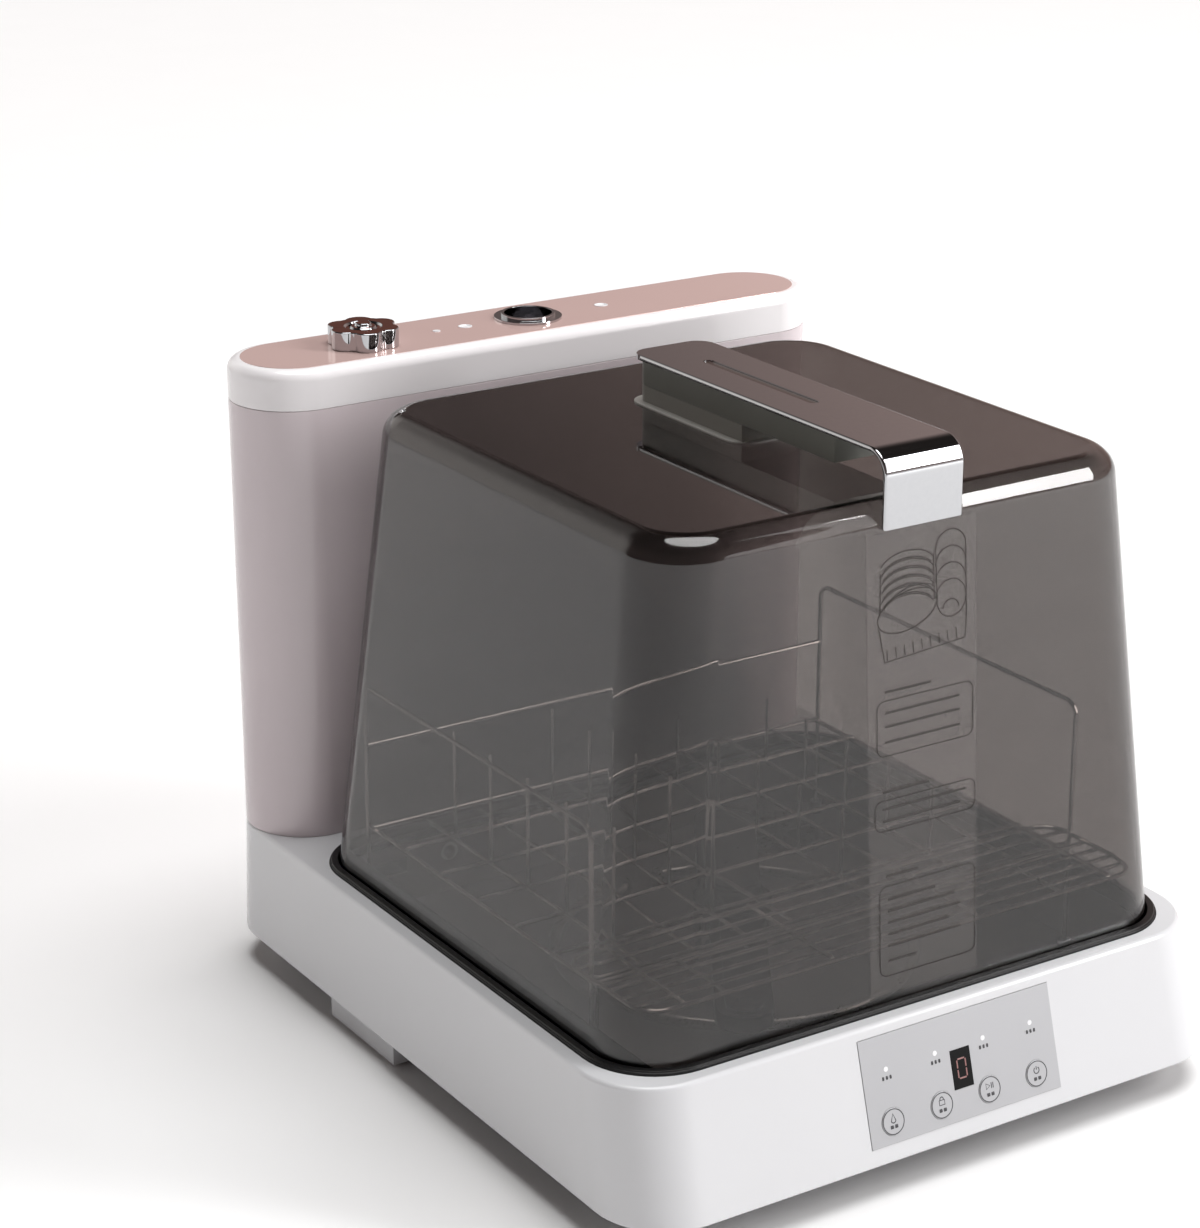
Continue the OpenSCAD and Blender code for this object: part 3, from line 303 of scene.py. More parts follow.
def stadium(name, width, depth, low, high):
    """An upright block with half-round ends, centred on the tank."""
    sides = 96
    half_side = math.pi / sides
    bpy.ops.object.select_all(action="DESELECT")
    bpy.ops.mesh.primitive_cylinder_add(vertices=sides, radius=depth / 2 / math.cos(half_side),
                                        depth=high - low, location=(0, tank_y, (low + high) / 2),
                                        rotation=(0, 0, half_side))
    bpy.ops.object.transform_apply(location=True, rotation=True, scale=True)
    form = bpy.context.object
    form.name = name
    for side in (-1, 1):
        pick(form, "VERT", lambda p: p.x * side > 0)
        bpy.ops.transform.translate(value=(side * (width - depth) / 2, 0, 0))
        bpy.ops.object.mode_set(mode="OBJECT")
    return form


column_edge = 0.6 * MM
column = stadium("tank_column", tank_width, tank_depth, column_low.z, column_high.z)
for height in (column_low.z, column_high.z):
    round_off(column, rim_at(height), column_edge, 2)
slot_count, first_slot, slot_pitch = 7, 18, 6
slot_left, slot_right = -172 * MM, -128 * MM
slot_height = 3 * MM
slot_reach = 4 * MM
for i in range(slot_count):
    slot_z = column_low.z + (first_slot + slot_pitch * i) * MM
    cut(column, block("slot", (slot_left, column_high.y - slot_reach, slot_z),
                      (slot_right, column_high.y + slot_reach, slot_z + slot_height)))
# Gloss ABS again. The mauve in its colour is painted light: the tint that the mauve room casts on it.
glossy_abs_painted_room_tint = moulded("glossy_white_abs_painted_mauve_light", "DDD2D5", "D6CBCF", 0.18, 1.6, 0.02, IOR=1.53)
finish(column, "base", "white_plastic", glossy_abs_painted_room_tint, "column_shell")


# Tank cover. A separate cap that rolls over into the flat top, with a shadow gap where it meets the column.
# It holds the rose plate, the filler ring and the lamps.
cover_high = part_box("column_cover")[1]
seam_z = column_high.z
cover_roll = 7 * MM
seam_round = 0.8 * MM
filler_hole = 18.5 * MM
under_top, over_top = 0.36, 0.42
cover = stadium("tank_cover", tank_width, tank_depth, seam_z, cover_high.z)
round_off(cover, rim_at(cover_high.z), cover_roll, 8)
round_off(cover, rim_at(seam_z), seam_round, 2)


def top_hole(x, y, radius, sides):
    """A round tool that passes through the tank's flat top."""
    return bar("hole", (x, y, under_top), (x, y, over_top), radius, sides)


cut(cover, top_hole(0, tank_y, filler_hole, 48))
# The cap's ABS is coloured whiter than the same ABS below it. This is painted light, because the cap faces
# the light.
glossy_abs_painted_lit_cap = moulded("glossy_white_abs_cap_painted_light", "FBF9FA", "F8F5F7", 0.16, 1.6, 0.02, IOR=1.53)
finish(cover, "base", "white_plastic", glossy_abs_painted_lit_cap, "column_cover")


# Rose plate. A thin glossy trim plate let into the cover, with holes for the filler and the lamps.
# Its pink is a painted reflection of the pink room in the top.
plate_low, plate_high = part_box("top_plate")
plate_width, plate_depth = plate_high.x - plate_low.x, plate_high.y - plate_low.y
plate_lift = 0.5 * MM
plate_round = 0.35 * MM
lamp_holes = ((57, 210.5, 9.2), (-45.5, 210.5, 9.2), (-67, 209.5, 5.2))  # x, y and diameter in mm
plate = stadium("rose_plate", plate_width, plate_depth, plate_low.z + plate_lift, plate_high.z)
round_off(plate, rim_at(plate_high.z), plate_round, 2)
cut(plate, top_hole(0, tank_y, filler_hole, 48))
for x, y, diameter in lamp_holes:
    cut(plate, top_hole(x * MM, y * MM, diameter / 2 * MM, 32))
# A clear lacquered plate whose pink colour is a painted reflection of the pink room. It is also a little
# metallic, so it mirrors the room faintly.
top_plate_painted_pink_reflection = moulded("pink_plate_painted_room_reflection", "E4C6C0", "DDBEB8", 0.12, 0.9, 0.01, IOR=1.5, Metallic=0.25)
finish(plate, "base", "rose_plate", top_plate_painted_pink_reflection, "top_plate")


# Parts whose CAD shape is right. A copy of each has its loose triangles joined and its hard edges rounded.
# They are the small mouldings, turned parts and rubber parts of the base and tank.
def softened(node, name, edge_mm, steps=2):
    """A copy of a CAD part, joined up, with its hard edges rounded."""
    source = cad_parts[node]
    piece = bpy.data.objects.new(name, source.data.copy())
    bpy.context.collection.objects.link(piece)
    alone(piece)
    bpy.ops.object.mode_set(mode="EDIT")
    bpy.ops.mesh.select_all(action="SELECT")
    bpy.ops.mesh.remove_doubles(threshold=weld)
    bpy.ops.mesh.dissolve_limited(angle_limit=math.radians(0.5))
    bpy.ops.object.mode_set(mode="OBJECT")
    if edge_mm:
        edge = piece.modifiers.new("edge", "BEVEL")
        edge.width = edge_mm * MM
        edge.segments = steps
        edge.limit_method = "ANGLE"
        edge.angle_limit = math.radians(40)
        bpy.ops.object.modifier_apply(modifier=edge.name)
    return piece


# Polypropylene gives a waxy half-gloss, silicone rubber a soft dark one.
# The foot blocks' pale grey is painted light: it is lighter than their plastic, to make up for the shade
# under the base.
feet_painted_light_polypropylene = moulded("foot_grey_painted_light", "C8C9CB", "C1C2C5", 0.42, 0.8, 0.05, IOR=1.49)
grey_polypropylene = moulded("grey_polypropylene", "8E8F92", "86878A", 0.42, 0.8, 0.05, IOR=1.49)
dark_polypropylene = moulded("black_polypropylene", "1B1B1D", "232325", 0.35, 0.8, 0.05, IOR=1.49)
black_silicone = moulded("black_silicone_rubber", "0D0D0E", "131314", 0.38, 1.1, 0.04, IOR=1.43)
tub_lining = moulded("pale_grey_tub_polypropylene", "A9A8A8", "A09F9F", 0.3, 1.2, 0.03, IOR=1.49)

small_parts = (  # node, piece, edge in mm, steps of the edge, body, slot and material
    ("gasket", "hood_gasket", 0.7, 3, "base", "black_rubber", black_silicone),
    ("tub", "wash_tub", 0.8, 2, "base", "grey_plastic", tub_lining),
    ("spindle", "arm_spindle", 0.5, 2, "base", "grey_plastic", grey_polypropylene),
    ("spray_arm", "spray_arm_moulding", 1.0, 3, "wash_arm", "black_plastic", dark_polypropylene),
    ("arm_cap", "spray_arm_cap", 1.0, 3, "base", "black_plastic", dark_polypropylene),
    ("rear_feet", "foot_blocks", 1.5, 3, "base", "grey_plastic", feet_painted_light_polypropylene),
    ("rubber_pads", "foot_pads", 0.6, 2, "base", "black_rubber", black_silicone),
    ("front_feet", "front_rubber_feet", 0.8, 2, "base", "black_rubber", black_silicone),
    ("base_plate", "bottom_plate", 0.4, 2, "base", "grey_plastic", grey_polypropylene),
    ("float_cage", "float_housing", 0.4, 2, "base", "white_plastic", glossy_white_abs),
    ("sump_float", "level_float", 0.4, 2, "float", "black_plastic", dark_polypropylene),
    ("drain_outlet", "drain_socket", 0.5, 2, "base", "black_plastic", dark_polypropylene),
    ("power_inlet", "mains_socket", 0.5, 2, "base", "black_plastic", dark_polypropylene),
)
for node, name, edge_mm, steps, body, slot, material in small_parts:
    finish(softened(node, name, edge_mm, steps), body, slot, material, node)


# Chrome and steel. The filler ring and the lobed cap are plated with polished chrome, and the cap's top is
# coloured copper-brown: a painted reflection of the brown room. The heater and the sump's filter are
# stainless steel.
def metal(name, tint, dark, roughness, grain_mm, stretch=1.0):
    """A metal with a fine grain in its gloss, drawn out along X when stretch is above 1."""
    material = bpy.data.materials.new(name)
    material.use_nodes = True
    tree = material.node_tree
    tree.nodes.clear()
    place = add(tree, "ShaderNodeTexCoord")
    drawn = add(tree, "ShaderNodeMapping", {"Vector": (place, "Object"), "Scale": (1 / stretch, 1.0, 1.0)})
    grain = add(tree, "ShaderNodeTexNoise",
                {"Vector": (drawn, "Vector"), "Scale": 1000 / grain_mm, "Detail": 4.0, "Roughness": 0.6})
    colours = add(tree, "ShaderNodeMix", {"Factor": (grain, "Fac"), "A": linear(tint), "B": linear(dark)},
                  data_type="RGBA")
    gloss = add(tree, "ShaderNodeMapRange",
                {"Value": (grain, "Fac"), "To Min": roughness * 0.7, "To Max": roughness * 1.4})
    skin = add(tree, "ShaderNodeBsdfPrincipled",
               {"Base Color": (colours, "Result"), "Roughness": (gloss, "Result"), "Metallic": 1.0})
    add(tree, "ShaderNodeOutputMaterial", {"Surface": (skin, "BSDF")})
    return material


# Plating is mirror-bright, wire a little softer, and rolled sheet satin with its grain drawn out along X.
polished_chrome = metal("polished_chrome_plate", "BEBFC1", "B6B7BA", 0.06, 3.0)
cap_top_painted_reflection = metal("chrome_cap_painted_brown_reflection", "D8846A", "CC785E", 0.08, 3.0)
bright_stainless = metal("bright_stainless_wire", "E4E3E1", "D4D3D1", 0.14, 2.0)
satin_stainless = metal("satin_stainless_sheet", "BDBCBA", "A8A7A5", 0.28, 0.8, 4.0)

finish(softened("fill_ring", "filler_ring", 0.6, 3), "base", "chrome", polished_chrome, "fill_ring")
filler_cap = softened("filler_cap", "lobed_filler_cap", 1.2, 3)
finish(filler_cap, "tank_cap", "chrome", polished_chrome, "filler_cap")
# The cap's flat top takes a copper-brown colour: a painted reflection of the brown room in its chrome.
filler_cap.data.materials.append(cap_top_painted_reflection)
cap_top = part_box("filler_cap")[1].z
painted_reflection_reach = 4 * MM
pick(filler_cap, "FACE", lambda centre, normal: normal.z > 0.98 and centre.z > cap_top - painted_reflection_reach)
filler_cap.active_material_index = 1
bpy.ops.object.material_slot_assign()
bpy.ops.object.mode_set(mode="OBJECT")
finish(softened("heater", "heater_ring", 0), "base", "steel_wire", satin_stainless, "heater", sharp=50)
finish(softened("filter_cup", "sump_filter", 0.25), "filter", "steel_wire", satin_stainless, "filter_cup")


# Hood. One polycarbonate moulding, smoked brown-grey and polished inside and out, 3 mm thick.
# It is open below, its sides draw in towards the top, and its edges are wide and round.
hood_low, hood_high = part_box("hood")
hood_draft = Vector((30.5, 18.5, 0)) * MM
hood_wall = 3 * MM
hood_corner = 40 * MM
hood_top_round = 14 * MM
hood = block("smoked_hood", hood_low, hood_high)
hood_w = hood_high.x - hood_low.x
hood_d = hood_high.y - hood_low.y
pick(hood, "VERT", lambda p: p.z > hood_high.z - same)
bpy.ops.transform.resize(value=(1 - 2 * hood_draft.x / hood_w, 1 - 2 * hood_draft.y / hood_d, 1),
                         center_override=(0, hood_y, hood_high.z))
bpy.ops.object.mode_set(mode="OBJECT")
round_off(hood, upright, hood_corner, 20)
round_off(hood, rim_at(hood_high.z), hood_top_round, 10)
pick(hood, "FACE", lambda centre, normal: centre.z < hood_low.z + same)
bpy.ops.mesh.delete(type="FACE")
bpy.ops.object.mode_set(mode="OBJECT")
wall = hood.modifiers.new("wall", "SOLIDIFY")
wall.thickness = hood_wall
wall.offset = -1
alone(hood)
bpy.ops.object.modifier_apply(modifier=wall.name)

# Dyed polycarbonate: clear and polished, and darker where the eye looks through more of it.
flows_per_metre = 14.0  # the moulding's flow lines lie about 70 mm apart
smoked_polycarbonate = bpy.data.materials.new("smoked_polycarbonate")
smoked_polycarbonate.use_nodes = True
tree = smoked_polycarbonate.node_tree
tree.nodes.clear()
place = add(tree, "ShaderNodeTexCoord")
flow = add(tree, "ShaderNodeTexNoise",
           {"Vector": (place, "Object"), "Scale": flows_per_metre, "Detail": 2.0})
gloss = add(tree, "ShaderNodeMapRange", {"Value": (flow, "Fac"), "To Min": 0.0, "To Max": 0.02})
skin = add(tree, "ShaderNodeBsdfPrincipled",
           {"Base Color": linear("FFFFFF"), "Roughness": (gloss, "Result"), "IOR": 1.58,
            "Transmission Weight": 1.0})
smoke = add(tree, "ShaderNodeVolumeAbsorption", {"Color": linear("8A7C76"), "Density": 480.0})
add(tree, "ShaderNodeOutputMaterial", {"Surface": (skin, "BSDF"), "Volume": (smoke, "Volume")})
finish(hood, "hood_lid", "smoked_plastic", smoked_polycarbonate, "hood")


# Handle. A chrome-plated strip runs along the top, turns down over the front edge in one bend and ends in a
# short leg. Below it is a soft grey grip on a narrower plinth, screwed through the hood.
strip_low, strip_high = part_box("handle_strip")
strip_t = 3 * MM
strip_edge = 1.4 * MM
end_corner = 12 * MM
bend_r = 15 * MM
bend_y = strip_low.y + bend_r
bend_z = strip_high.z - bend_r
strip_x = (strip_low.x + strip_high.x) / 2
bpy.ops.object.select_all(action="DESELECT")
bpy.ops.mesh.primitive_plane_add(size=1, location=(strip_x, (bend_y + strip_high.y) / 2, strip_high.z),
                                 scale=(1, 1, 1))
strip = bpy.context.object
strip.name = "handle_strip_plate"
strip.scale = (strip_high.x - strip_low.x, strip_high.y - bend_y, 1)
bpy.ops.object.transform_apply(location=True, rotation=True, scale=True)
pick(strip, "VERT", lambda p: p.y > 0)
bpy.ops.mesh.bevel(offset=end_corner, segments=8, affect="VERTICES")
bpy.ops.object.mode_set(mode="OBJECT")
pick(strip, "EDGE", lambda a, b: abs(a.y - bend_y) < same and abs(b.y - bend_y) < same)
bpy.ops.mesh.spin(steps=14, angle=-math.pi / 2, center=(strip_x, bend_y, bend_z), axis=(1, 0, 0))
bpy.ops.object.mode_set(mode="OBJECT")
pick(strip, "EDGE", rim_at(bend_z))
bpy.ops.mesh.extrude_region_move(TRANSFORM_OT_translate={"value": (0, 0, strip_low.z - bend_z)})
bpy.ops.mesh.select_all(action="SELECT")
bpy.ops.mesh.remove_doubles(threshold=weld)
bpy.ops.mesh.normals_make_consistent(inside=False)
bpy.ops.object.mode_set(mode="OBJECT")
top_face = max(strip.data.polygons, key=lambda f: f.center.z)
thick = strip.modifiers.new("thick", "SOLIDIFY")
thick.thickness = strip_t
thick.offset = -1 if top_face.normal.z > 0 else 1
alone(strip)
bpy.ops.object.modifier_apply(modifier=thick.name)


def along_side(a, b):
    """Whether an edge lies on one of the strip's two long sides."""
    return abs(a.x - b.x) < weld and min(abs(a.x - strip_low.x), abs(a.x - strip_high.x)) < same


round_off(strip, along_side, strip_edge, 4)
groove_y = strip_high.y - 97 * MM
groove_w, groove_long, groove_corner = 6.6 * MM, 110 * MM, 3.29 * MM
groove_low, over_strip = strip_high.z - 1.2 * MM, strip_high.z + 2 * MM
cut(strip, rounded_block("groove", groove_w, groove_long, groove_low, over_strip, groove_corner,
                         groove_y, strip_x, 8))
finish(strip, "hood_lid", "chrome", polished_chrome, "handle_strip")
# A thin brown sheet lies in the groove as painted shade, so the groove stays dark where the plating would
# mirror the light.
shade_sheet_w, shade_sheet_long, shade_sheet_corner = 6.2 * MM, 109.6 * MM, 3.09 * MM
shade_sheet_low, shade_sheet_high = strip_high.z - 1.3 * MM, strip_high.z - 0.9 * MM
shade_sheet = rounded_block("groove_painted_shade_sheet", shade_sheet_w, shade_sheet_long, shade_sheet_low, shade_sheet_high, shade_sheet_corner,
                      groove_y, strip_x, 8)
groove_shade_paint = moulded("groove_painted_shade_colour", "4A3C38", "423531", 0.3, 0.6, 0.02, IOR=1.5)
finish(shade_sheet, "hood_lid", "grip_plastic", groove_shade_paint)

# Soft-touch grip, harder plinth and a pale sealing flange, each matt enough to show no clear reflection.
# The grip and plinth are coloured lighter to paint light where the strip shades them. The flange's pale
# colour is a painted highlight along the handle's foot.
grip_painted_light = moulded("soft_touch_grip_painted_light", "7C7E76", "72746D", 0.3, 0.6, 0.05, IOR=1.5)
plinth_painted_light = moulded("grey_plinth_painted_light", "9A9992", "908F89", 0.3, 0.8, 0.04, IOR=1.49)
flange_painted_highlight = moulded("plinth_flange_painted_highlight", "C4C3BE", "BBBAB5", 0.35, 0.8, 0.02, IOR=1.45)
plinth_low, plinth_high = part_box("handle_plinth")
flange_wider = 10 * MM
flange_corner = 14 * MM
flange_top = plinth_low.z + 1.2 * MM
flange_w, flange_d = plinth_high.x - plinth_low.x + flange_wider, plinth_high.y - plinth_low.y + flange_wider
flange = rounded_block("plinth_flange", flange_w, flange_d, plinth_low.z, flange_top, flange_corner,
                       (plinth_low.y + plinth_high.y) / 2, strip_x, 8)
round_off(flange, rim_at(flange_top), 0.5 * MM, 2)
finish(flange, "hood_lid", "grip_plastic", flange_painted_highlight)
grip = softened("handle_grip", "grip_moulding", 1.6, 4)
finish(grip, "hood_lid", "grip_plastic", grip_painted_light, "handle_grip")
plinth = softened("handle_plinth", "grip_plinth", 0.8, 3)
finish(plinth, "hood_lid", "grip_plastic", plinth_painted_light, "handle_plinth")


# Basket. Bright stainless wire, welded: two side frames with rounded shoulders, a floor of crossed wires,
# a row of tall plate tines on the left and of short cup tines on the right.
def drawn_out(name, runs, roundness):
    """One mesh of round lines. Each run is its points and width in metres, and whether it closes."""
    parts = []
    for points, width, closed in runs:
        line = bpy.data.curves.new(name, "CURVE")
        line.dimensions = "3D"
        line.bevel_depth = width / 2
        line.bevel_resolution = roundness
        line.use_fill_caps = not closed
        spline = line.splines.new("POLY")
        spline.points.add(len(points) - 1)
        for target, point in zip(spline.points, points):
            target.co = (*point, 1)
        spline.use_cyclic_u = closed
        part = bpy.data.objects.new(name, line)
        bpy.context.collection.objects.link(part)
        parts.append(part)
    bpy.ops.object.select_all(action="DESELECT")
    for part in parts:
        part.select_set(True)
    bpy.context.view_layer.objects.active = parts[0]
    bpy.ops.object.convert(target="MESH")
    bpy.ops.object.join()
    bpy.context.object.name = name
    return bpy.context.object


def wires(name, runs):
    """One mesh of round wires. Each run is a list of points in millimetres and the wire's diameter."""
    return drawn_out(name, [([Vector(point) * MM for point in points], diameter * MM, False)
                            for points, diameter in runs], 3)


def arc(centre, start, end, steps=8):
    """Points of a quarter bend about a centre, from one offset to the other."""
    centre, start, end = Vector(centre), Vector(start), Vector(end)
    return [centre + start * math.cos(t) + end * math.sin(t)
            for t in (i * math.pi / 2 / steps for i in range(steps + 1))]


# All sizes of the wires are in millimetres.
post_low, post_high = (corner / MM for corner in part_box("basket_frames"))
wire_d = 3
frame_x = post_high.x - wire_d / 2
frame_top = post_high.z - wire_d / 2
wire_foot = post_low.z
basket_back = post_high.y - wire_d / 2
basket_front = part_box("basket")[0].y / MM + wire_d / 2
floor_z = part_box("basket")[0].z / MM + wire_d / 2 - 0.1
tine_top = (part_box("basket_tines")[1] / MM).z
shoulder = 9
across = [-0.78, -0.57, -0.37, -0.175, 0.175, 0.37, 0.57, 0.78]  # shares of the half width
tined = ((across[0], 1), (across[2], 1), (across[4], 0.62), (across[6], 0.62))  # tines and their height
rows = [basket_front + i * (basket_back - basket_front) / 6 for i in range(1, 6)]
layer = 2.1  # a crossing wire lies this much higher
rail_z = floor_z + 5.08
rail_in = 52  # the shelf's rails lie this far inside the frames
back_rail_down = 40
overhang = 1.4
edge_x = frame_x - wire_d - 0.1
runs = []
for side in (-1, 1):
    x = side * frame_x
    hoop = [(x, basket_front, wire_foot)]
    hoop += arc((x, basket_front + shoulder, frame_top - shoulder), (0, -shoulder, 0), (0, 0, shoulder))
    hoop += arc((x, basket_back - shoulder, frame_top - shoulder), (0, 0, shoulder), (0, shoulder, 0))
    hoop += [(x, basket_back, wire_foot)]
    runs.append((hoop, wire_d))
    runs.append(([(side * edge_x, basket_front - overhang, floor_z),
                  (side * edge_x, basket_back + overhang, floor_z)], wire_d - 0.2))
    arm = side * (frame_x - rail_in)
    runs.append(([(arm, post_low.y, rail_z), (arm, basket_front, rail_z)], wire_d - 0.4))
for y in (basket_front, basket_back):
    runs.append(([(-edge_x, y, floor_z), (edge_x, y, floor_z)], wire_d - 0.3))
runs.append(([(-frame_x, basket_front, rail_z), (frame_x, basket_front, rail_z)], wire_d - 0.2))
back_rail_z = frame_top - back_rail_down
runs.append(([(-frame_x, basket_back, back_rail_z), (frame_x, basket_back, back_rail_z)], wire_d - 0.2))
for share in across:
    x = share * frame_x
    runs.append(([(x, basket_front, floor_z), (x, basket_back, floor_z)], wire_d - 0.5))
for y in rows:
    runs.append(([(-edge_x, y, floor_z + layer), (edge_x, y, floor_z + layer)], wire_d - 0.4))
    for share, top in tined:
        tip = floor_z + (tine_top - floor_z) * top
        runs.append(([(share * frame_x, y, floor_z), (share * frame_x, y, tip)], wire_d - 0.6))
basket = wires("wire_basket", runs)
finish(basket, "dish_basket", "steel_wire", bright_stainless, "basket", "basket_frames", "basket_tines")
finish(softened("basket_feet", "basket_foot_caps", 0.5), "dish_basket", "grey_plastic", grey_polypropylene,
       "basket_feet")


# Cutlery shelf. A loop of stainless wire with rounded corners and finer wires welded across it. It lies on
# the basket's rails and fills the space between the basket and the hood's front.
shelf_low, shelf_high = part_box("cutlery_shelf")
left, right = shelf_low.x / MM + wire_d / 2, shelf_high.x / MM - wire_d / 2
near, far = shelf_low.y / MM + wire_d / 2, shelf_high.y / MM - wire_d / 2
level = shelf_low.z / MM + wire_d / 2
bend = 16
shelf_rows = (-46, -34, -22, -10, 10)  # from the basket's front wire
bearer_in = 24
loop = arc((right - bend, far - bend, level), (bend, 0, 0), (0, bend, 0))
loop += arc((left + bend, far - bend, level), (0, bend, 0), (-bend, 0, 0))
loop += arc((left + bend, near + bend, level), (-bend, 0, 0), (0, -bend, 0))
loop += arc((right - bend, near + bend, level), (0, -bend, 0), (bend, 0, 0))
runs = [(loop + loop[:1], wire_d)]
for step in shelf_rows:
    y = basket_front + step
    runs.append(([(left + 0.5, y, level), (right - 0.5, y, level)], wire_d - 0.4))
for share in (-1, -0.34, 0.34, 1):
    x = share * (right - bearer_in)
    runs.append(([(x, near, level + layer), (x, far, level + layer)], wire_d - 0.4))
shelf = wires("cutlery_shelf_wires", runs)
finish(shelf, "dish_basket", "steel_wire", bright_stainless, "cutlery_shelf")


# Control panel. A silver-grey plate let into the slope, with four round keys, four lamps and a black
# display. The keys carry plain outline symbols, and a dim figure shows in the display.
# Metallic film gives the panel and keys a soft silver grey, and screen print gives matt dark lines.
silver_film = moulded("silver_panel_film", "BABBBE", "B3B4B7", 0.34, 0.5, 0.01, IOR=1.5, Metallic=0.35)
print_grey = moulded("dark_grey_print", "3A3A3D", "404043", 0.5, 0.6, 0.01, IOR=1.5)
panel_under, panel_over = -1.15 * MM, 0.4 * MM
panel = slope_block("panel_plate", (-panel_w / 2, -panel_h / 2, panel_under),
                    (panel_w / 2, panel_h / 2, panel_over))
# places and sizes on the panel in millimetres, from its centre
key_pitch, key_v, lamp_v, display_v = 34.7, -18.8, 11.5, -1.6
key_xs = {key: (i - 1.5) * key_pitch for i, key in enumerate(("select", "lock", "start", "power"))}
key_r, key_hole_r, key_rise = 7.9, 8.05, 0.9
lamp_r, lamp_hole_r, lamp_rise = 1.2, 1.3, 0.55
cap_edge = 0.35 * MM
window_w, window_bottom, window_top = 7 * MM, -13.1 * MM, 9.9 * MM
window_gap = 0.1 * MM
through_panel = 4


def slope_bar(name, x, v, low, high, radius, sides=48):
    """A round bar that stands on the panel's plane. All its sizes are in millimetres."""
    form = bar(name, (x * MM, v * MM, low * MM), (x * MM, v * MM, high * MM), radius * MM, sides)
    form.data.transform(on_slope)
    return form


for x in key_xs.values():
    cut(panel, slope_bar("hole", x, key_v, -through_panel, through_panel, key_hole_r))
    cut(panel, slope_bar("hole", x, lamp_v, -through_panel, through_panel, lamp_hole_r, 24))
cut(panel, slope_block("hole", (-window_w - window_gap, window_bottom - window_gap, -through_panel * MM),
                       (window_w + window_gap, window_top + window_gap, through_panel * MM)))
finish(panel, "base", "silver_panel", silver_film, "front_panel")

for key, x in key_xs.items():
    cap = slope_bar(key + "_key", x, key_v, -2, key_rise, key_r, 64)
    alone(cap)
    edge = cap.modifiers.new("edge", "BEVEL")
    edge.width = cap_edge
    edge.segments = 3
    edge.limit_method = "ANGLE"
    bpy.ops.object.modifier_apply(modifier=edge.name)
    finish(cap, "key_" + key, "silver_panel", silver_film, "button_" + key)


def ribbon(name, outlines, width, height, plane):
    """Flat printed lines. Each outline is a list of (x, v) points in millimetres and whether it closes."""
    flatness = 0.3
    made = drawn_out(name, [([(x * MM, v * MM, 0) for x, v in points], width * MM, closed)
                            for points, closed in outlines], 1)
    made.data.transform(Matrix.Translation((0, 0, height * MM)) @ Matrix.Diagonal((1, 1, flatness, 1)))
    made.data.transform(plane)
    return made


def ring(x, v, radius, start=0, sweep=360, steps=40):
    """Points round a circle, or part of one, with angles in degrees."""
    return [(x + radius * math.cos(math.radians(start + sweep * i / steps)),
             v + radius * math.sin(math.radians(start + sweep * i / steps)))
            for i in range(steps + (0 if sweep == 360 else 1))]


symbols = {
    "select": [(ring(0, 1.0, 1.7, 200, 140) + [(0, 4.6)], True)],
    "lock": [([(-1.9, 0.2), (1.9, 0.2), (1.9, 3.0), (-1.9, 3.0)], True),
             ([(-1.2, 3.0)] + ring(0, 3.6, 1.2, 180, -180, 12) + [(1.2, 3.0)], False)],
    "start": [([(-2.6, 0.4), (-2.6, 3.8), (0.2, 2.1)], True), ([(1.2, 0.4), (1.2, 3.8)], False),
              ([(2.4, 0.4), (2.4, 3.8)], False)],
    "power": [(ring(0, 2.0, 1.9, 125, 290, 24), False), ([(0, 2.3), (0, 4.4)], False)],
}
ring_r, symbol_line = 7.25, 0.65
dash_v, dash_long, dash_high, key_dashes = key_v - 2.9, 1.9, 2.1, (-2.5, 0.6)
mark_v, mark_long, mark_high, mark_steps = lamp_v - 5.0, 1.1, 2.2, (-3.2, -0.6, 2.0)
print_rise = 0.42
for key, x in key_xs.items():
    lines = [([(x + a, key_v + b) for a, b in points], closed) for points, closed in symbols[key]]
    lines.append((ring(x, key_v, ring_r), True))
    mark = ribbon(key + "_symbol", lines, symbol_line, key_rise, on_slope)
    finish(mark, "key_" + key, "black_plastic", print_grey)
    lines = [([(x + a, dash_v), (x + a + dash_long, dash_v)], False) for a in key_dashes]
    dashes = ribbon(key + "_dashes", lines, dash_high, key_rise, on_slope)
    finish(dashes, "key_" + key, "black_plastic", print_grey)
lines = [([(x + a, mark_v), (x + a + mark_long, mark_v)], False)
         for x in key_xs.values() for a in mark_steps]
finish(ribbon("lamp_marks", lines, mark_high, print_rise, on_slope), "base", "black_plastic", print_grey)

# Acrylic lenses look milky, because the lamps behind them are off.
lamp_lens = moulded("milky_lamp_lens", "F4F4F6", "EFEFF2", 0.2, 1.0, 0.01, IOR=1.49)
for key, x in key_xs.items():
    lens = slope_bar(key + "_lamp", x, lamp_v, -2, lamp_rise, lamp_r, 24)
    finish(lens, "base", "white_plastic", lamp_lens)
for node in ("lamp_pipes", "top_lamps"):
    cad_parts[node].data.materials.clear()
    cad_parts[node].data.materials.append(lamp_lens)

# The display's window is deep black with little gloss, and one dim red figure shows in it.
black_window = moulded("black_display_window", "070708", "0A0A0B", 0.4, 1.0, 0.0, IOR=1.25)
window = slope_block("display_window", (-window_w, window_bottom, -2 * MM), (window_w, window_top, 0.6 * MM))
round_off(window, lambda a, b: True, 0.3 * MM, 2)
finish(window, "base", "display_black", black_window, "display")
digit_glow = moulded("dim_red_segment", "9C716E", "946A67", 0.4, 1.0, 0.0, IOR=1.5)
tall, wide, gap = 5.6, 3.0, 0.5
segments = [([(side * wide, display_v + half * gap), (side * wide, display_v + half * (tall - gap))], False)
            for half in (1, -1) for side in (-1, 1)]
segments += [([(-wide + 0.6, display_v + half * tall), (wide - 0.6, display_v + half * tall)], False)
             for half in (1, -1)]
digit = ribbon("display_figure", segments, 0.9, 0.62, on_slope)
finish(digit, "base", "display_black", digit_glow)


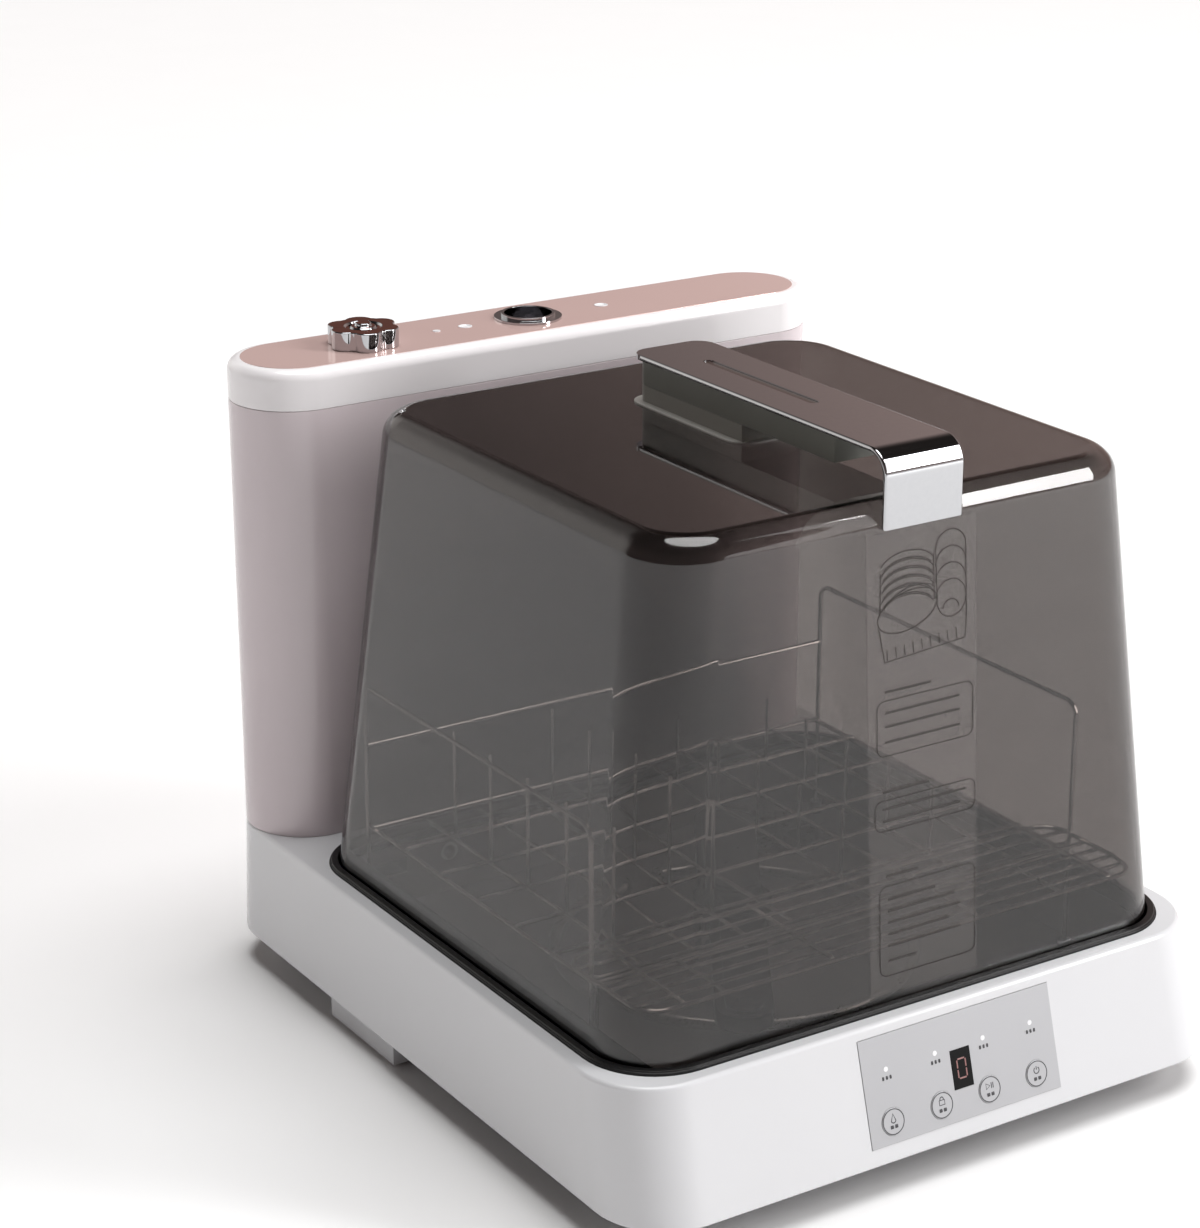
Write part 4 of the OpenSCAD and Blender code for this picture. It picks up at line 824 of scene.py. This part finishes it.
# Guide film. A clear film stuck to the hood's front under the handle and printed with thin dark outlines:
# a sketch of a filled rack and three framed fields. The ink is matt, and the film leaves a faint haze.
film_ink = moulded("black_film_ink", "26211F", "2A2523", 0.5, 0.6, 0.0, IOR=1.5)
film_angle = math.atan(hood_draft.y / (hood_high.z - hood_low.z))
on_film = Matrix.Translation((0, hood_low.y, hood_low.z)) @ Matrix.Rotation(math.pi / 2 - film_angle, 4, "X")
film_clear = bpy.data.materials.new("clear_guide_film")
film_clear.use_nodes = True
tree = film_clear.node_tree
tree.nodes.clear()
place = add(tree, "ShaderNodeTexCoord")
hazes_per_metre = 30.0
haze = add(tree, "ShaderNodeTexNoise",
           {"Vector": (place, "Object"), "Scale": hazes_per_metre, "Detail": 2.0})
gloss = add(tree, "ShaderNodeMapRange", {"Value": (haze, "Fac"), "To Min": 0.05, "To Max": 0.12})
skin = add(tree, "ShaderNodeBsdfPrincipled",
           {"Base Color": linear("8F8A88"), "Roughness": (gloss, "Result"), "IOR": 1.5, "Alpha": 0.1})
add(tree, "ShaderNodeOutputMaterial", {"Surface": (skin, "BSDF")})
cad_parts["guide_film"].data.materials.clear()
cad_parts["guide_film"].data.materials.append(film_clear)


def field(low_x, high_x, low_v, high_v, corner=5.0):
    """The outline of a framed field with rounded corners."""
    outline = []
    for x, v, start in ((high_x - corner, high_v - corner, 0), (low_x + corner, high_v - corner, 90),
                        (low_x + corner, low_v + corner, 180), (high_x - corner, low_v + corner, 270)):
        outline += ring(x, v, corner, start, 90, 6)
    return outline, True


rim_v = 3.0  # the rim lies this far above the hood's bottom edge


def oval(x, v, half_x, half_v, start=0, sweep=360, lean=0.0, steps=32):
    """Points round an ellipse or part of one. Its axes lean by an angle in degrees."""
    turned = math.radians(lean)
    made = []
    for a, b in ring(0, 0, 1, start, sweep, steps):
        a, b = a * half_x, b * half_v
        made.append((x + a * math.cos(turned) - b * math.sin(turned),
                     v + rim_v + a * math.sin(turned) + b * math.cos(turned)))
    return made


# the sketch: a row of ovals one behind the other, a column of half ovals, a large oval and the rack below
lines = [(oval(-6, 254 - 5 * i, 19, 10, 20, 140), False) for i in range(6)]
lines += [(oval(-6, 250 - 5 * i, 19, 10, 30, 120), False) for i in range(5)]
lines += [([(-24.5, 257), (-25, 232)], False), ([(12, 262), (12.5, 236)], False)]
lines += [(oval(24, 261 - 9.5 * i, 10.5, 10, 0, 180), False) for i in range(4)]
lines += [([(13.5, 264), (14.5, 233)], False), ([(34.5, 264), (35, 222)], False)]
lines += [(oval(24.5, 231, 10, 10, 180, 180), False), (oval(24, 226, 5.5, 5, 0, 180), False)]
lines += [(oval(-6, 230, 21, 11, lean=12), True), (oval(-4, 233, 19, 10, 20, 140, lean=12), False)]
lines += [([(-26, 226), (-22, 206), (34, 210), (35, 226)], False)]
lines += [([(-20 + 6 * i, 207 + 0.5 * i), (-20.5 + 6 * i, 213 + 0.5 * i)], False) for i in range(9)]
# three framed fields with bars that stand for their lines of print
lines += [field(-27.7, 39.5, 149 + rim_v, 181 + rim_v), field(-29.6, 41, 105 + rim_v, 123 + rim_v),
          field(-27, 41, 18 + rim_v, 72 + rim_v)]
bars = [(-22, 10, 186), (-22, 30, 174), (-22, 30, 166), (-22, 30, 157),
        (-24, 8, 128), (-24, 34, 118), (-24, 30, 111), (-22, 0, 78),
        (-21, 12, 64), (-21, 26, 57), (-21, 30, 50), (-21, 22, 43), (-21, 30, 36), (-21, -2, 27)]
ink_line, ink_bar, ink_rise = 0.55, 1.3, 0.45
finish(ribbon("film_outlines", lines, ink_line, ink_rise, on_film), "hood_lid", "guide_film", film_ink)
lines = [([(x0, v + rim_v), (x1, v + rim_v)], False) for x0, x1, v in bars]
finish(ribbon("film_bars", lines, ink_bar, ink_rise, on_film), "hood_lid", "guide_film", film_ink)


# Inner works. The pumps, hoses, boards and fan sit out of sight in the base and the column.
# Moulded housings are black or white, hoses are rubber, and the boards are green laminate.
board_laminate = moulded("green_solder_mask", "1E6B45", "1A5F3D", 0.3, 0.8, 0.02, IOR=1.55)
natural_polyethylene = moulded("natural_polyethylene", "E4E6E6", "DCDFDF", 0.35, 1.0, 0.03, IOR=1.5)
inner_works = {
    dark_polypropylene: ("wash_pump_motor", "drain_pump", "switches", "fill_pump", "fan_housing"),
    glossy_white_abs: ("wash_pump_volute",),
    black_silicone: ("suction_hose", "pressure_hose", "drain_hose"),
    board_laminate: ("power_board", "control_board"),
    natural_polyethylene: ("inner_tank", "fill_tube"),
    grey_polypropylene: ("pump_impeller", "fan_rotor", "air_duct"),
    satin_stainless: ("base_screws", "column_screws", "handle_screws"),
}
for material, nodes in inner_works.items():
    for node in nodes:
        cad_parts[node].data.materials.clear()
        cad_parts[node].data.materials.append(material)


# Studio. A pale painted floor, a large soft light in front and to the right, and a dim warm room for the
# gloss to mirror. None of it is part of the dishwasher.
bpy.ops.object.select_all(action="DESELECT")
bpy.ops.mesh.primitive_plane_add(size=60, location=(0, 0, 0))
floor = bpy.context.object
floor.name = "studio_floor"
pale_paint = moulded("pale_studio_floor", "FCFCFC", "FAFAFA", 0.9, 30, 0.0, IOR=1.3)
floor.data.materials.append(pale_paint)


def soft_light(name, place, target, size, power, lean):
    """A soft light of some width and height that faces a point and leans by some degrees."""
    bpy.ops.object.light_add(type="AREA", location=place)
    light = bpy.context.object
    light.name = name
    light.data.shape = "RECTANGLE"
    light.data.size, light.data.size_y = size
    light.data.energy = power
    facing = (Vector(target) - Vector(place)).to_track_quat("-Z", "Y")
    light.rotation_euler = (facing @ Quaternion((0, 0, 1), math.radians(lean))).to_euler()


# Both lights lean by the angle at which the hood's front edge and the handle's bend mirror them upright.
hood_top = (0, -0.2, 0.36)
light_lean = -24
soft_light("front_softbox", (3.42, -3.17, 2.48), hood_top, (0.95, 3.86), 165, light_lean)
soft_light("front_card", (3.03, -3.6, 2.48), hood_top, (0.49, 4.8), 13, light_lean)
ceiling_strength = 2.6
ceiling_spread = math.radians(44)
ceiling_direction = Vector((0.15, 0.0, 0.99))
bpy.ops.object.light_add(type="SUN", location=(0, 0, 3))
ceiling = bpy.context.object
ceiling.name = "ceiling_light"
ceiling.data.energy = ceiling_strength
ceiling.data.angle = ceiling_spread
ceiling.rotation_euler = ceiling_direction.to_track_quat("Z", "Y").to_euler()

# The room is darker on the left than on the right, dark overhead, and has a pale pane behind on the left.
world = bpy.data.worlds.new("studio_room")
world.use_nodes = True
bpy.context.scene.world = world
tree = world.node_tree
tree.nodes.clear()
look = add(tree, "ShaderNodeTexCoord")
split = add(tree, "ShaderNodeSeparateXYZ", {"Vector": (look, "Generated")})
height = add(tree, "ShaderNodeMapRange", {"Value": (split, "Z"), "From Min": 0.35, "From Max": 0.75},
             interpolation_type="SMOOTHSTEP")
side = add(tree, "ShaderNodeMapRange", {"Value": (split, "X"), "From Min": 0.48, "From Max": 0.7})
walls = add(tree, "ShaderNodeMix",
            {"Factor": (side, "Result"), "A": linear("685D5B"), "B": linear("BAA39D")}, data_type="RGBA")
behind = add(tree, "ShaderNodeMapRange", {"Value": (split, "Y"), "From Min": 0.55, "From Max": 0.7})
leftward = add(tree, "ShaderNodeMapRange", {"Value": (split, "X"), "From Min": 0.25, "From Max": 0.05})
pane = add(tree, "ShaderNodeMath", {0: (behind, "Result"), 1: (leftward, "Result")}, operation="MULTIPLY")
windowed = add(tree, "ShaderNodeMix",
               {"Factor": (pane, "Value"), "A": (walls, "Result"), "B": linear("FFFAF5")}, data_type="RGBA")
room = add(tree, "ShaderNodeMix",
           {"Factor": (height, "Result"), "A": (windowed, "Result"), "B": linear("2A2624")},
           data_type="RGBA")
glow = add(tree, "ShaderNodeBackground", {"Color": (room, "Result"), "Strength": 1.0})
add(tree, "ShaderNodeOutputWorld", {"Surface": (glow, "Background")})

bpy.context.view_layer.update()
